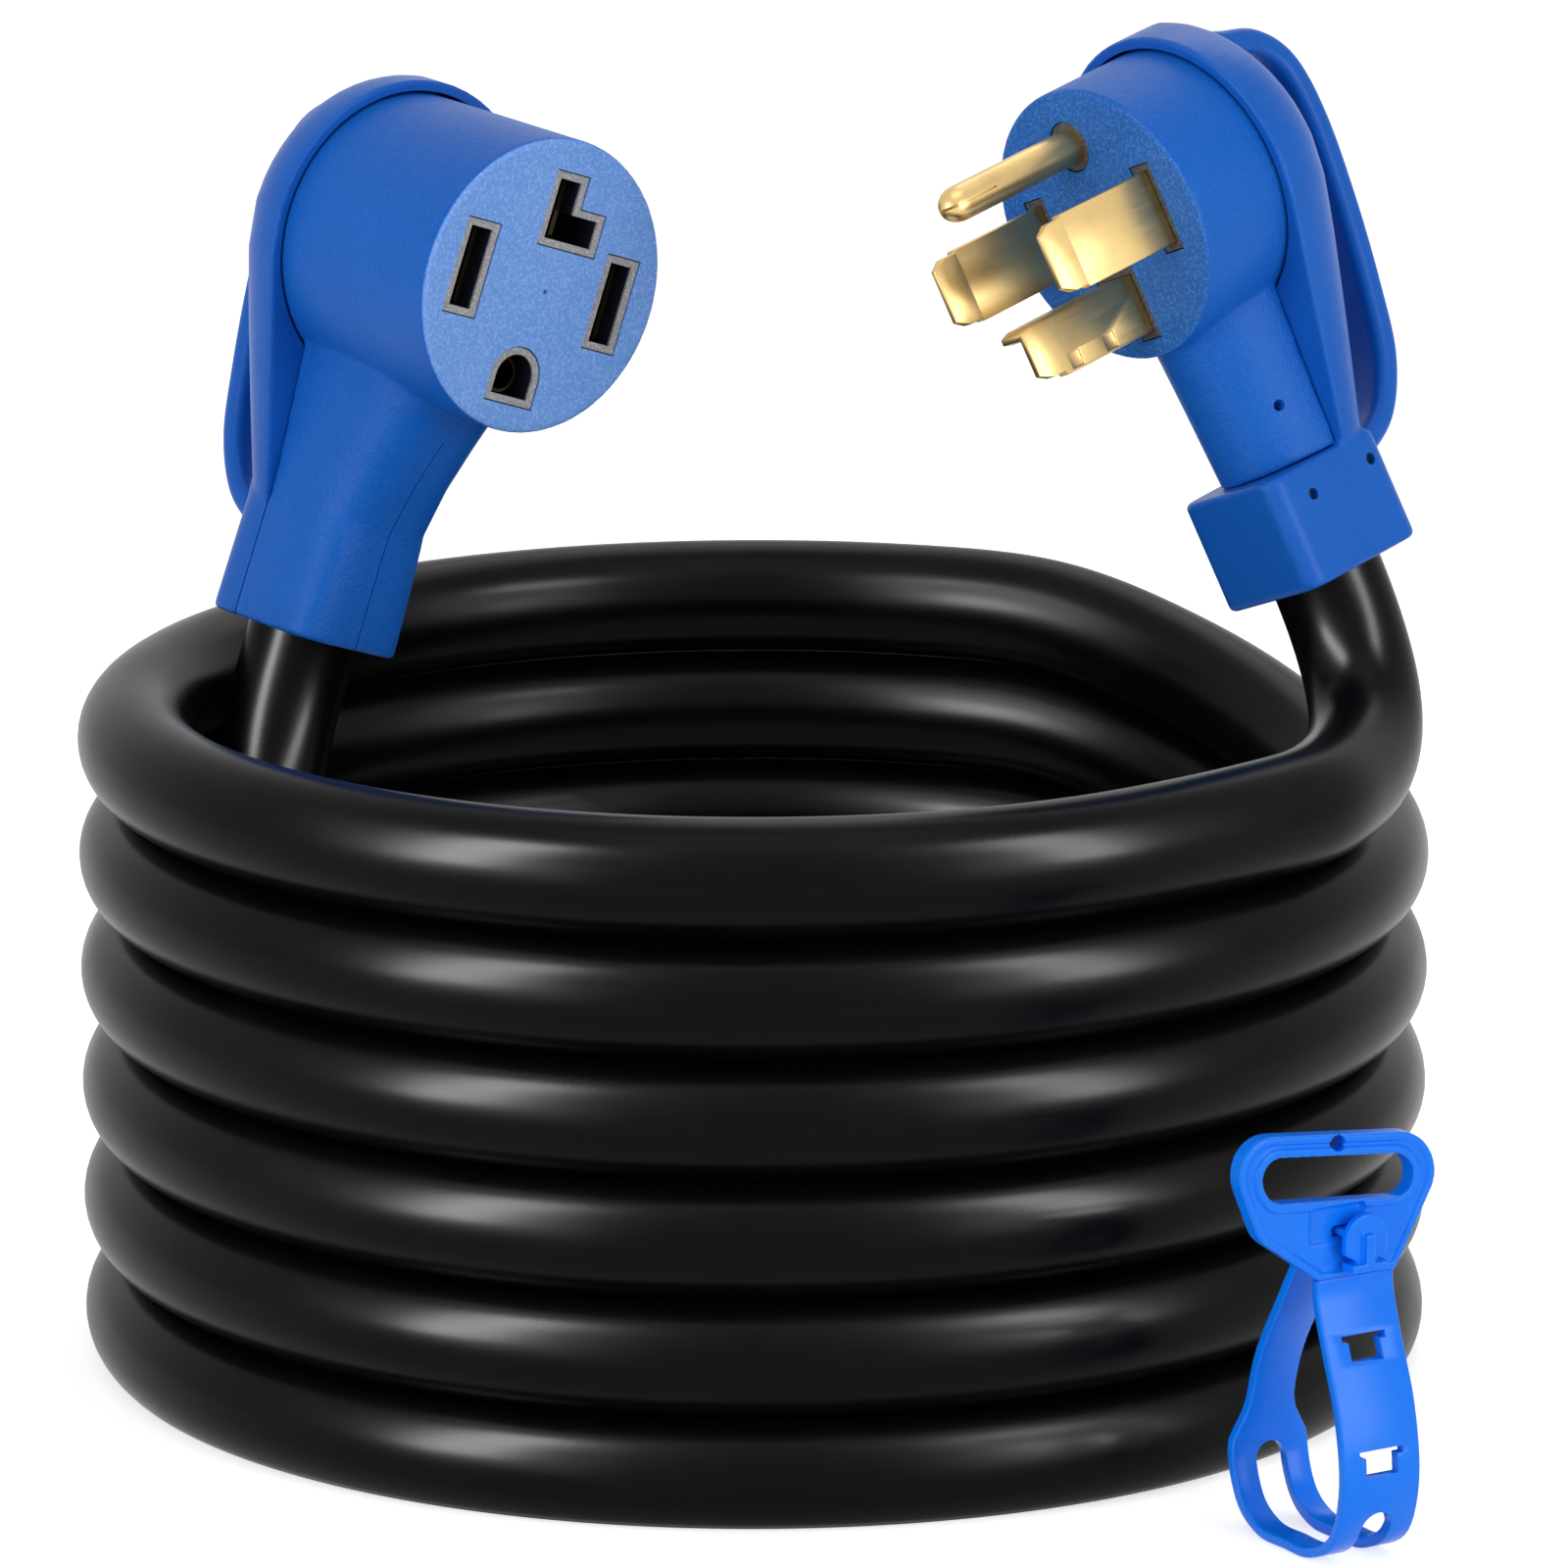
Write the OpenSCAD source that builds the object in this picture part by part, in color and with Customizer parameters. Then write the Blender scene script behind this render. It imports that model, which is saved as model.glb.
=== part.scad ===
// Coiled power supply cord with a four-blade plug, a matching connector and a carrying strap.
// +Z is up and the coil stands on Z = 0 around the Z axis; the plug side is +X, the front is -Y.

/* [Cord] */
// Diameter of the jacketed cord
cord_d = 18.6; // [16:0.1:19]
// Diameter of the coil at the middle of its cord
coil_d = 206; // [200:1:214]
// Gap between one loop and the next
loop_gap = 0.9; // [0.9:0.1:1.4]
// Diameter of one insulated conductor
conductor_d = 4.2; // [3:0.1:4.4]

/* [Heads] */
// Radius of the plug's front body
plug_r = 23.5; // [22.5:0.1:24.5]
// Radius of the connector's front body
connector_r = 25; // [24:0.1:26]
// Distance from the plug's neck axis to its face
plug_reach = 14.5; // [13.5:0.1:16]
// Distance from the connector's neck axis to its face
connector_reach = 34; // [32:0.1:37]
// Thickness of the moulded walls
wall = 2.4; // [2:0.1:2.8]
// Thickness of the front face
face_wall = 3; // [2.5:0.1:4]
// Length that the rear cover laps over the front body
lap = 6; // [5:0.1:7]
// Depth of the rear cover behind its front edge
cover_depth = 21; // [20:0.1:23]
// Length of the neck from the head's axis to the sleeve
neck_length = 48.5; // [46:0.1:50]
// Length of the square sleeve at the end of the neck
sleeve_length = 19.5; // [17:0.1:22]
// Width of the square sleeve
sleeve_w = 24; // [23.5:0.1:26]
// Depth of the square sleeve
sleeve_depth = 26.5; // [25:0.1:28]
// Width of the grab handle
handle_w = 13; // [10:0.5:16]
// Thickness of the grab handle
handle_t = 4.4; // [3.8:0.1:4.8]

/* [Blades and contacts] */
// Distance from the face's centre to each hot blade
hot_x = 14.1; // [13.5:0.1:14.5]
// Width of the hot blades
blade_w = 12.6; // [11:0.1:13]
// Thickness of the blades
blade_t = 2.2; // [1.8:0.1:2.6]
// Length that the blades stand out of the face
blade_length = 25.4; // [20:0.1:28]
// Radius of the round ground pin
ground_r = 3; // [2.6:0.1:3.3]
// Length that the ground pin stands out of the face
ground_length = 29.8; // [24:0.1:32]
// Distance from the face's centre to the ground pin and to the middle of the neutral blade
pole_y = 14; // [13.5:0.1:14.5]
// Width of the dark openings around the contacts
slot_w = 4.7; // [4.2:0.1:5]
// Length of the hot openings in the connector's face
slot_length = 13.6; // [13:0.1:14]
// Rim of the carrier that shows around each blade and opening
rim = 1.2; // [0.9:0.1:1.4]

/* [Strap] */
// Width of the strap's band
band_w = 14.5; // [13:0.1:16]
// Thickness of the band
band_t = 1.8; // [1.4:0.1:2.2]
// Width of the strap's grip plate
grip_w = 37; // [35:0.5:40]
// Height of the strap's grip plate above the band
grip_h = 24; // [23:0.5:26]
// Thickness of the grip plate
grip_t = 3.2; // [2.6:0.1:4]
// Height of the grip opening
grip_open_h = 7.2; // [6:0.1:8]

/* [Hidden] */

$fn = 64;
fit = 0.2;             // clearance between fixed pieces
hand_gap = 0.35;       // clearance under the rear cover's lap
rim_blue = "#2f62b8";
gold = "#d9b45a";

// Placing of the two heads: where the neck axis meets the head axis, and how the head turns.
// In a head's own frame +Z leaves the face and the neck runs along -Y.
plug_turn = [104.24, -19.98, -51.14];
plug_up = [-0.399, 0.104, 0.911];
plug_mouth = [94.5, -6.5, 133];
connector_turn = [93.66, 18.68, 40.76];
connector_up = [0.284, 0.160, 0.945];
connector_mouth = [-76, 26, 115.5];
mouth_drop = neck_length + sleeve_length;
plug_place = plug_mouth + mouth_drop * plug_up;
connector_place = connector_mouth + mouth_drop * connector_up;

// Coil: angle a grows clockwise from the right-hand side, and the cord drops one loop at a time
// in the same sector behind the plug.
cord_r = cord_d / 2;
loops = 6;                   // the free ends are drawn for six
pitch = cord_d + loop_gap;
coil_r = coil_d / 2;
rings_per_loop = 24;
ring_step = 360 / rings_per_loop;
flat_cut = cord_d / 10;
low_z = cord_r - flat_cut;
drop_start = 295;
drop_sector = 60;
coil_from = 45;
coil_to = loops * 360 - 90;
coil_sides = 6;
tube_sides = 8;

// Routes of the free ends, from the coil to inside the sleeves
plug_end_route = [[95, -42.5, 105], [98, -33.5, 105.5], [100, -26, 107],
                  [101, -19, 110], [100.5, -13.5, 115.5], [98.5, -9, 122.5], [96, -7, 129.5]];
connector_end_route = [[57, 71, 7.5], [67, 52.5, 8], [76, 35.5, 8.5], [82, 14.5, 10.5],
                       [82, -15, 14.5], [71, -43, 18.5], [51.5, -65.5, 23], [25.5, -79, 28.5],
                       [-4, -83, 35], [-33, -76.5, 42.5], [-57.5, -60, 51], [-75, -36, 60.5],
                       [-83, -7.5, 72], [-83.5, 4.5, 78.5], [-82.5, 14.5, 87.5],
                       [-80.5, 21.5, 99], [-77.5, 25.5, 110]];
jacket_in = sleeve_length - 5; // how far the jacket reaches into a sleeve

function ramp(t) = t <= 0 ? 0 : t >= 1 ? 1 : t < 1 / 6 ? 3.6 * t * t
                   : t > 5 / 6 ? 1 - 3.6 * (1 - t) * (1 - t) : 0.1 + 1.2 * (t - 1 / 6);
function sum(v, i = 0) = i >= len(v) ? 0 : v[i] + sum(v, i + 1);
function drops(a) = sum([for (n = [0:loops - 2]) ramp((a - drop_start - 360 * n) / drop_sector)]);
function coil_point(a) = [coil_r * cos(a), -coil_r * sin(a), low_z + pitch * (loops - 1 - drops(a))];
function unit(v) = v / norm(v);
function coil_way(a) = unit(coil_point(a + 0.5) - coil_point(a - 0.5));

coil_points = concat([coil_point(coil_from) - cord_d * coil_way(coil_from)],
                     [for (a = [coil_from:ring_step:coil_to]) coil_point(a)],
                     [coil_point(coil_to) + cord_d * coil_way(coil_to)]);
coil_last = len(coil_points) - 1;
butt = 5;                    // square stretch where a free end meets the coil
least_gap = min([for (i = [0:coil_last - rings_per_loop + 6]) for (j = [i + rings_per_loop - 6:coil_last])
                 norm(coil_points[i] - coil_points[j])]) - cord_d;
echo(least_gap_between_loops = least_gap);

// Directions along a path of points, and the tube swept along it with rings square to it
function path_way(p, i) = unit(p[min(i + 1, len(p) - 1)] - p[max(i - 1, 0)]);
function side_of(t) = unit(cross([0, 0, 1], t));
function carried(s, t) = unit(s - (s * t) * t);
function sides(p, i = 0, s = [0, 0, 0]) =
    i >= len(p) ? []
    : let (t = path_way(p, i), now = i == 0 ? side_of(t) : carried(s, t)) concat([now], sides(p, i + 1, now));

// Whatever would reach below the floor is flattened onto it, and a level tube keeps one side up
module tube(p, r, n, first = 0, floor_z = -1000, level = false) {
    side = level ? [for (i = [0:len(p) - 1]) side_of(path_way(p, i))] : sides(p);
    round_corners = [for (i = [0:len(p) - 1]) for (k = [0:n - 1])
        let (t = path_way(p, i), u = side[i], w = cross(t, u), b = first + 360 * k / n)
        p[i] + r * (cos(b) * u + sin(b) * w)];
    corners = [for (c = round_corners) [c[0], c[1], max(c[2], floor_z)]];
    skin = [for (i = [0:len(p) - 2]) for (k = [0:n - 1])
        let (a = i * n + k, b = i * n + (k + 1) % n) each [[a, a + n, b], [b, a + n, b + n]]];
    first_cap = [for (k = [1:n - 2]) [0, k, k + 1]];
    last = (len(p) - 1) * n;
    last_cap = [for (k = [1:n - 2]) [last, last + k + 1, last + k]];
    polyhedron(points = corners, faces = concat(skin, first_cap, last_cap), convexity = 10);
}

module cord_coil() {
    color("#161616") tube(coil_points, cord_r, coil_sides, 0, 0, true);
}

module cord_plug_end() {
    start = coil_points[0];
    route = concat([start, start - butt * coil_way(coil_from)], plug_end_route,
                   [plug_mouth, plug_mouth + jacket_in * plug_up]);
    color("#1b1b1b") tube(route, cord_r, tube_sides, 180 / tube_sides, 0);
}

module cord_connector_end() {
    start = coil_points[coil_last];
    route = concat([start, start + butt * coil_way(coil_to)], connector_end_route,
                   [connector_mouth, connector_mouth + jacket_in * connector_up]);
    color("#1b1b1b") tube(route, cord_r, tube_sides, 180 / tube_sides, 0);
}

// ---- Shapes that the plug and the connector share, each in its head's own frame ----
seam_z = -4;                 // where the rear cover's front edge lies
sleeve_front = 14;           // front of the sleeve from the neck axis
neck_top_r = 13.2;
neck_end_r = 10.6;
neck_bore_r = 8;
back_neck_top_r = 16.5;
back_neck_end_r = 12.4;
cord_clear = 0.3;
wire_room = 0.4;             // room round each conductor
crown_start = 6;             // straight part of the cover's rim before it domes
crown_bulge = 0.5;           // how square the dome's shoulder is
seal_from = 4;               // from the sleeve's mouth to the seal
seal_w = 3;
seal_depth = 1.6;
hole_r = 0.9;
screw_head_h = 1.4;
handle_line = [[-19, 18.5], [-27, 16.5], [-31.8, 10], [-32.8, 0], [-31.2, -15], [-29, -29],
               [-26.2, -40], [-20, -48.5], [-11.5, -52.5]];

module plug_frame() { translate(plug_place) rotate(plug_turn) children(); }
module connector_frame() { translate(connector_place) rotate(connector_turn) children(); }

module dome(r, depth) {
    rim_z = seam_z - crown_start;
    rise = depth - crown_start;
    curve = [for (t = [0:9:90]) [r * pow(cos(t), crown_bulge), rim_z - rise * sin(t)]];
    rotate_extrude() polygon(concat([[0, seam_z], [r, seam_z]], curve));
}

module neck_cone(r_top, r_end, far) {
    rotate([90, 0, 0]) cylinder(h = far, r1 = r_top, r2 = r_end);
}

module front_half() {
    intersection() {
        children();
        translate([-50, -100, seam_z + fit / 2]) cube([100, 200, 100]);
    }
}

module back_half() {
    intersection() {
        children();
        translate([-50, -100, seam_z - 100]) cube([100, 200, 100]);
    }
}

// Centre of a smooth line through hand-set points, and the ribbon that follows it
function smooth(p, n) = concat([for (i = [0:len(p) - 2]) for (k = [0:n - 1])
    let (a = p[max(i - 1, 0)], b = p[i], c = p[i + 1], d = p[min(i + 2, len(p) - 1)], t = k / n)
    0.5 * ((2 * b) + (c - a) * t + (2 * a - 5 * b + 4 * c - d) * t * t
           + (3 * b - a - 3 * c + d) * t * t * t)], [p[len(p) - 1]]);
function left_of(p, i) = let (w = path_way(p, i)) [-w[1], w[0]];
module ribbon(p, half) {
    reach = len(p) - 1;
    polygon(concat([for (i = [0:reach]) p[i] + half * left_of(p, i)],
                   [for (i = [reach:-1:0]) p[i] - half * left_of(p, i)]));
}

module handle() {
    rotate([0, -90, 0]) linear_extrude(height = handle_w, center = true)
        ribbon(smooth(handle_line, 4), handle_t / 2);
}

module sleeve() {
    corner = 4;
    far = -mouth_drop;
    translate([0, far, 0]) rotate([-90, 0, 0]) linear_extrude(height = sleeve_length)
        union() {
            translate([-sleeve_w / 2 + corner, -sleeve_front])
                square([sleeve_w - 2 * corner, sleeve_depth]);
            translate([-sleeve_w / 2, -sleeve_front + corner])
                square([sleeve_w, sleeve_depth - 2 * corner]);
            for (x = [-1, 1]) for (y = [-sleeve_front + corner, -sleeve_front + sleeve_depth - corner])
                translate([x * (sleeve_w / 2 - corner), y]) circle(r = corner);
        }
}

// A wire, or the space for one, on a smooth line through hand-set points
module wire(points, r) {
    tube(smooth(points, 4), r, tube_sides);
}

module cover_shell(r) {
    union() {
        dome(r + wall, cover_depth);
        back_half() translate([0, -8, 0]) neck_cone(back_neck_top_r, back_neck_end_r, neck_length - 8);
        sleeve();
        difference() {
            handle();
            dome(r + wall - 1, cover_depth - 1);
        }
    }
}

module cover_space(r) {
    neck_room = hand_gap + 2;
    dome(r - 0.5, cover_depth - wall);
    translate([0, 0, seam_z - lap - hand_gap]) cylinder(h = lap + 60, r = r + hand_gap);
    neck_cone(neck_bore_r, neck_bore_r, neck_length + 4);
    front_half() neck_cone(neck_top_r + neck_room, neck_end_r + neck_room, neck_length);
    translate([0, -mouth_drop - 1, 0]) rotate([-90, 0, 0])
        cylinder(h = sleeve_length - 3, r = cord_r + cord_clear);
    translate([0, -mouth_drop + seal_from, 0]) rotate([-90, 0, 0])
        cylinder(h = seal_w, r = cord_r + seal_depth);
}

module screw_holes(r, clear, long) {
    for (place = screw_places) translate(place) rotate([0, 90, 0])
        cylinder(h = long, r = r + clear, $fn = 24);
}

screw_long = 4;
screw_x = sleeve_w / 2 - screw_long;
screw_places = [[screw_x, -neck_length - 6, 8], [screw_x, -neck_length - 6, -8],
                [screw_x, -neck_length - 14, -8]];

module rear_cover(r) {
    difference() {
        cover_shell(r);
        cover_space(r);
        children();
    }
}

module front_body(r, reach) {
    difference() {
        union() {
            translate([0, 0, seam_z - lap]) cylinder(h = reach - seam_z + lap, r = r);
            front_half() neck_cone(neck_top_r, neck_end_r, neck_length - fit);
        }
        translate([0, 0, seam_z - lap - 1]) cylinder(h = reach - face_wall - seam_z + lap + 1, r = r - wall);
        neck_cone(neck_bore_r, neck_bore_r, neck_length + 1);
        children();
    }
}

module cord_seal() {
    translate([0, -mouth_drop + seal_from + fit / 2, 0]) rotate([-90, 0, 0]) difference() {
        cylinder(h = seal_w - fit, r = cord_r + seal_depth - fit / 2);
        translate([0, 0, -1]) cylinder(h = seal_w + 2, r = cord_r + fit / 2);
    }
}

module cover_screws() {
    for (place = screw_places) translate(place + [0.2, 0, 0]) rotate([0, 90, 0])
        cylinder(h = screw_long - screw_head_h, r = hole_r, $fn = 24);
}

module block(w, h, z_from, z_to, grow = 0) {
    translate([-w / 2 - grow, -h / 2 - grow, z_from]) cube([w + 2 * grow, h + 2 * grow, z_to - z_from]);
}

// ---- Plug ----
carrier_t = 7;
barrel_r = 2.5;
butt_gap = 0.5;              // from a conductor's end to its barrel
tail_long = 4;
barrel_long = 5;
tip_cut = 1.6;
shank_step = 0.4;            // the ground pin's shank is this much thinner than the pin
neutral_leg = 10;
neutral_foot = 7.2;
dimple_w = 3;
dimple_deep = 0.5;
plug_back = plug_reach - face_wall - carrier_t;   // back of the blade carrier
plug_tail_end = plug_back - tail_long;
plug_wire_z = plug_tail_end - barrel_long;

module neutral_outline(grow, mirror_x) {
    s = mirror_x ? -1 : 1;
    t = blade_t + 2 * grow;
    translate([-t / 2, -neutral_leg / 2 - grow]) square([t, neutral_leg + 2 * grow]);
    translate([s > 0 ? -t / 2 : t / 2 - neutral_foot - 2 * grow, neutral_leg / 2 + grow - t])
        square([neutral_foot + 2 * grow, t]);
}

module blade_holes(grow, z_from, z_to, thinner = 0) {
    for (s = [-1, 1]) translate([s * hot_x, 0, 0]) block(blade_t, blade_w, z_from, z_to, grow);
    translate([0, -pole_y, z_from]) linear_extrude(height = z_to - z_from) neutral_outline(grow, true);
    translate([0, pole_y, z_from]) cylinder(h = z_to - z_from, r = ground_r - thinner + grow);
}

module plug_front_body() {
    color(rim_blue) plug_frame() front_body(plug_r, plug_reach) {
        union() {
            blade_holes(rim + fit, plug_reach - face_wall - 1, plug_reach + 1);
            for (w = plug_wires) wire(w, conductor_d / 2 + wire_room);
        }
    }
}

plug_wires = [
    [[-3.4, -47, 0], [-3.4, -31, 0], [-10.5, -14, -6.5], [-hot_x, -2.5, -9], [-hot_x, 0, -7],
     [-hot_x, 0, plug_wire_z]],
    [[3.4, -47, 0], [3.4, -31, 0], [10.5, -14, -6.5], [hot_x, -2.5, -9], [hot_x, 0, -7],
     [hot_x, 0, plug_wire_z]],
    [[0, -47, 3.4], [0, -32, 3.4], [0, -24, -1.5], [0, -18.5, -7.2], [0, -pole_y, -8],
     [0, -pole_y, plug_wire_z]],
    [[0, -47, -3.4], [0, -32, -4.5], [0, -22, -12], [0, -12, -15.8], [0, 6, -15.8], [0, pole_y, -10],
     [0, pole_y, plug_wire_z]]];

module plug_wire(i, shade) {
    color(shade) plug_frame() wire(plug_wires[i], conductor_d / 2);
}

module plug_rear_cover() {
    color("#2457b0") plug_frame() rear_cover(plug_r) {
        union() {
            for (w = plug_wires) wire(w, conductor_d / 2 + wire_room);
            screw_holes(hole_r, fit / 2, screw_long + 1);
        }
    }
}

module plug_blade_carrier() {
    color("#4a4a4c") plug_frame() difference() {
        union() {
            translate([0, 0, plug_back]) cylinder(h = carrier_t - fit, r = plug_r - wall - fit);
            blade_holes(rim, plug_back + 1, plug_reach - 0.3);
        }
        blade_holes(fit / 2, plug_back - 1, plug_reach + 1, shank_step);
    }
}

module blade_tail(x, y) {
    translate([x, y, plug_wire_z + butt_gap]) cylinder(h = barrel_long, r = barrel_r);
}

module plug_hot_blade(s) {
    color(gold) plug_frame() {
        translate([s * hot_x, 0, 0]) rotate([90, 0, 90])
            linear_extrude(height = blade_t, center = true)
            polygon([[-blade_w / 2, plug_tail_end + 0.2], [blade_w / 2, plug_tail_end + 0.2],
                     [blade_w / 2, plug_reach + blade_length - tip_cut],
                     [blade_w / 2 - tip_cut, plug_reach + blade_length],
                     [-blade_w / 2 + tip_cut, plug_reach + blade_length],
                     [-blade_w / 2, plug_reach + blade_length - tip_cut]]);
        blade_tail(s * hot_x, 0);
    }
}

module plug_neutral_blade() {
    color(gold) plug_frame() {
        difference() {
            translate([0, -pole_y, plug_tail_end + 0.2])
                linear_extrude(height = plug_reach + blade_length - plug_tail_end - 0.2)
                neutral_outline(0, true);
            for (k = [0.35, 0.75])
                translate([blade_t / 2 - dimple_deep, -pole_y - neutral_leg / 2 + dimple_w / 3,
                           plug_reach + k * blade_length])
                cube([1, dimple_w, dimple_w]);
        }
        blade_tail(0, -pole_y);
    }
}

module plug_ground_pin() {
    color(gold) plug_frame() {
        translate([0, pole_y, plug_tail_end + 0.2])
            cylinder(h = plug_reach - plug_tail_end, r = ground_r - shank_step);
        translate([0, pole_y, plug_reach]) cylinder(h = ground_length - ground_r, r = ground_r);
        translate([0, pole_y, plug_reach + ground_length - ground_r]) sphere(r = ground_r);
        blade_tail(0, pole_y);
    }
}

// ---- Connector ----
connector_carrier_t = 16;
hot_slot_x = 15.7;
neutral_y = 13;
neutral_slot_leg = 10.2;
neutral_slot_foot = 10.4;
ground_slot_y = -15.9;
ground_slot_r = 4;
ground_flat = 0.8;            // where the slot's flat side lies, as a share of its radius
ground_cup_r = ground_slot_r * ground_flat - 0.1;
contact_t = 0.9;
contact_long = 13;
contact_back = connector_reach - face_wall - connector_carrier_t;
contact_floor = 2;            // solid part of the carrier behind the openings
stem_step = 0.6;              // a contact's stem is this much thinner than its hole
connector_wire_z = contact_back - 4;

module neutral_slot(grow) {
    left = -slot_w / 2 - grow;
    low = neutral_y - neutral_slot_leg / 2 - grow;
    translate([left, low]) square([slot_w + 2 * grow, neutral_slot_leg + 2 * grow]);
    translate([left, low]) square([neutral_slot_foot + 2 * grow, slot_w + 2 * grow]);
}

module ground_slot(grow) {
    intersection() {
        translate([0, ground_slot_y]) circle(r = ground_slot_r + grow);
        translate([-10, ground_slot_y - ground_slot_r * ground_flat - grow]) square([20, 20]);
    }
    translate([-ground_slot_r - grow, ground_slot_y - ground_slot_r * ground_flat - grow])
        square([2 * (ground_slot_r + grow), ground_slot_r * ground_flat + grow]);
}

module slots(grow, z_from, z_to) {
    for (s = [-1, 1]) translate([s * hot_slot_x, 0, 0]) block(slot_w, slot_length, z_from, z_to, grow);
    translate([0, 0, z_from]) linear_extrude(height = z_to - z_from) neutral_slot(grow);
    translate([0, 0, z_from]) linear_extrude(height = z_to - z_from) ground_slot(grow);
}

module connector_front_body() {
    color(rim_blue) connector_frame() front_body(connector_r, connector_reach) {
        union() {
            slots(rim + fit, connector_reach - face_wall - 1, connector_reach + 1);
            for (w = connector_wires) wire(w, conductor_d / 2 + wire_room);
        }
    }
}

connector_wires = [
    [[-3.4, -47, 0], [-3.4, -28, 0], [-14, -9, -1], [-hot_slot_x, 0, 2], [-hot_slot_x, 0, connector_wire_z]],
    [[3.4, -47, 0], [3.4, -28, 0], [14, -9, -1], [hot_slot_x, 0, 2], [hot_slot_x, 0, connector_wire_z]],
    [[0, -47, -3.4], [0, -26, -3.4], [0, 0, -9], [0, neutral_y, -4], [0, neutral_y, connector_wire_z]],
    [[0, -47, 3.4], [0, -28, 3.4], [0, ground_slot_y, 4.5], [0, ground_slot_y, connector_wire_z]]];

module connector_wire(i, shade) {
    color(shade) connector_frame() wire(connector_wires[i], conductor_d / 2);
}

module connector_rear_cover() {
    color("#2457b0") connector_frame() rear_cover(connector_r) {
        union() {
            for (w = connector_wires) wire(w, conductor_d / 2 + wire_room);
            screw_holes(hole_r, fit / 2, screw_long + 1);
        }
    }
}

module connector_contact_carrier() {
    color("#4a4a4c") connector_frame() difference() {
        union() {
            translate([0, 0, contact_back])
                cylinder(h = connector_carrier_t - fit, r = connector_r - wall - fit);
            slots(rim, contact_back + 1, connector_reach - 0.3);
        }
        slots(0, contact_back + contact_floor, connector_reach + 1);
        for (place = contact_places) translate([place[0], place[1], contact_back - 1])
            cylinder(h = contact_floor + 2, r = barrel_r + fit / 2);
    }
}

contact_places = [[-hot_slot_x, 0], [hot_slot_x, 0], [0, neutral_y], [0, ground_slot_y]];

module contact_stem(x, y) {
    translate([x, y, connector_wire_z + butt_gap])
        cylinder(h = contact_back + contact_floor + 1 - connector_wire_z - butt_gap, r = barrel_r - stem_step);
}

// Two springy leaves that grip a blade between them
module leaf_contact(x, y, long, gap_x) {
    z0 = contact_back + contact_floor + 0.1;
    for (s = [-1, 1]) translate([x + s * gap_x - contact_t / 2, y - long / 2, z0])
        cube([contact_t, long, contact_long]);
    translate([x - gap_x - contact_t / 2, y - long / 2, z0]) cube([2 * gap_x + contact_t, long, 1.2]);
    contact_stem(x, y);
}

leaf_gap = slot_w / 2 - contact_t / 2 - 0.15;

module connector_hot_contact(s) {
    color(gold) connector_frame() leaf_contact(s * hot_slot_x, 0, slot_length - 1, leaf_gap);
}

module connector_neutral_contact() {
    color(gold) connector_frame() leaf_contact(0, neutral_y, neutral_slot_leg - 1, leaf_gap);
}

module connector_ground_contact() {
    z0 = contact_back + contact_floor + 0.1;
    color(gold) connector_frame() {
        translate([0, ground_slot_y, z0]) difference() {
            cylinder(h = contact_long, r = ground_cup_r);
            translate([0, 0, 1.2]) cylinder(h = contact_long, r = ground_cup_r - contact_t / 2);
        }
        contact_stem(0, ground_slot_y);
    }
}

// ---- Strap, in its own frame: X across the band, Y front to back, Z up ----
strap_place = [94, -122, 0];
strap_turn = 32;
plate_y = 0;
band_line = [[plate_y, 45.9], [-0.4, 42], [-2.8, 35], [-6.5, 25], [-8, 14], [-5.5, 5], [1, band_t / 2 + 0.3],
             [8, band_t / 2], [15, band_t / 2 + 0.3], [20.5, 5], [23, 14], [20.5, 27], [14, 39],
             [8.5, 48.5], [5.8, 52.6], [3.4, 53.5]];
grip_low = 46;
grip_shift = -4;
tee_tops = [37, 19.5];
tee_w = 8.3;
tee_h = 4.2;
stem_w = 6;
bar_h = 1;
bend_slot_w = 5.8;
bend_slot_front = 9;
bend_slot_back = 13;
slit_w = 9;
slit_h = 1.6;
slit_z = 53.5;
hang_r = 1.3;
hook_r = 4;
tab_t = 1.4;
bar_w = 6.8;
bar_low = 6;                 // the cross bar's lower edge below the slit
grip_rim = 4.2;
grip_round = 6.5;

module strap_frame() { translate(strap_place) rotate([0, 0, strap_turn]) children(); }

module strap_band() {
    color("#1677e8") strap_frame() difference() {
        rotate([90, 0, 90]) linear_extrude(height = band_w, center = true)
            ribbon(smooth(band_line, 3), band_t / 2);
        for (top = tee_tops) {
            translate([-tee_w / 2, -20, top - bar_h]) cube([tee_w, 22, bar_h]);
            translate([-stem_w / 2, -20, top - tee_h]) cube([stem_w, 22, tee_h]);
        }
        translate([-bend_slot_w / 2, -20, -1]) cube([bend_slot_w, 30, bend_slot_front + 1]);
        translate([-bend_slot_w / 2, 9, -1]) cube([bend_slot_w, 30, bend_slot_back + 1]);
    }
}

module grip_outline() {
    round_r = grip_round;
    half = grip_w / 2;
    hull() {
        for (s = [-1, 1]) translate([grip_shift + s * (half - round_r), grip_low + grip_h - round_r - 1])
            circle(r = round_r, $fn = 40);
        translate([-band_w / 2, grip_low]) square([band_w, 1]);
        for (s = [-1, 1]) translate([grip_shift + s * (half - round_r - 1.5), grip_low + 11.5])
            circle(r = round_r - 1, $fn = 40);
    }
}

module grip_opening() {
    end_r = grip_open_h / 2;
    span = grip_w - 2 * grip_rim - 2 * end_r;
    translate([grip_shift, grip_low + grip_h - grip_rim - 0.2 - end_r]) {
        for (s = [-1, 1]) translate([s * span / 2, 0]) circle(r = end_r, $fn = 40);
        translate([-span / 2, -end_r]) square([span, 2 * end_r]);
    }
}

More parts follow.
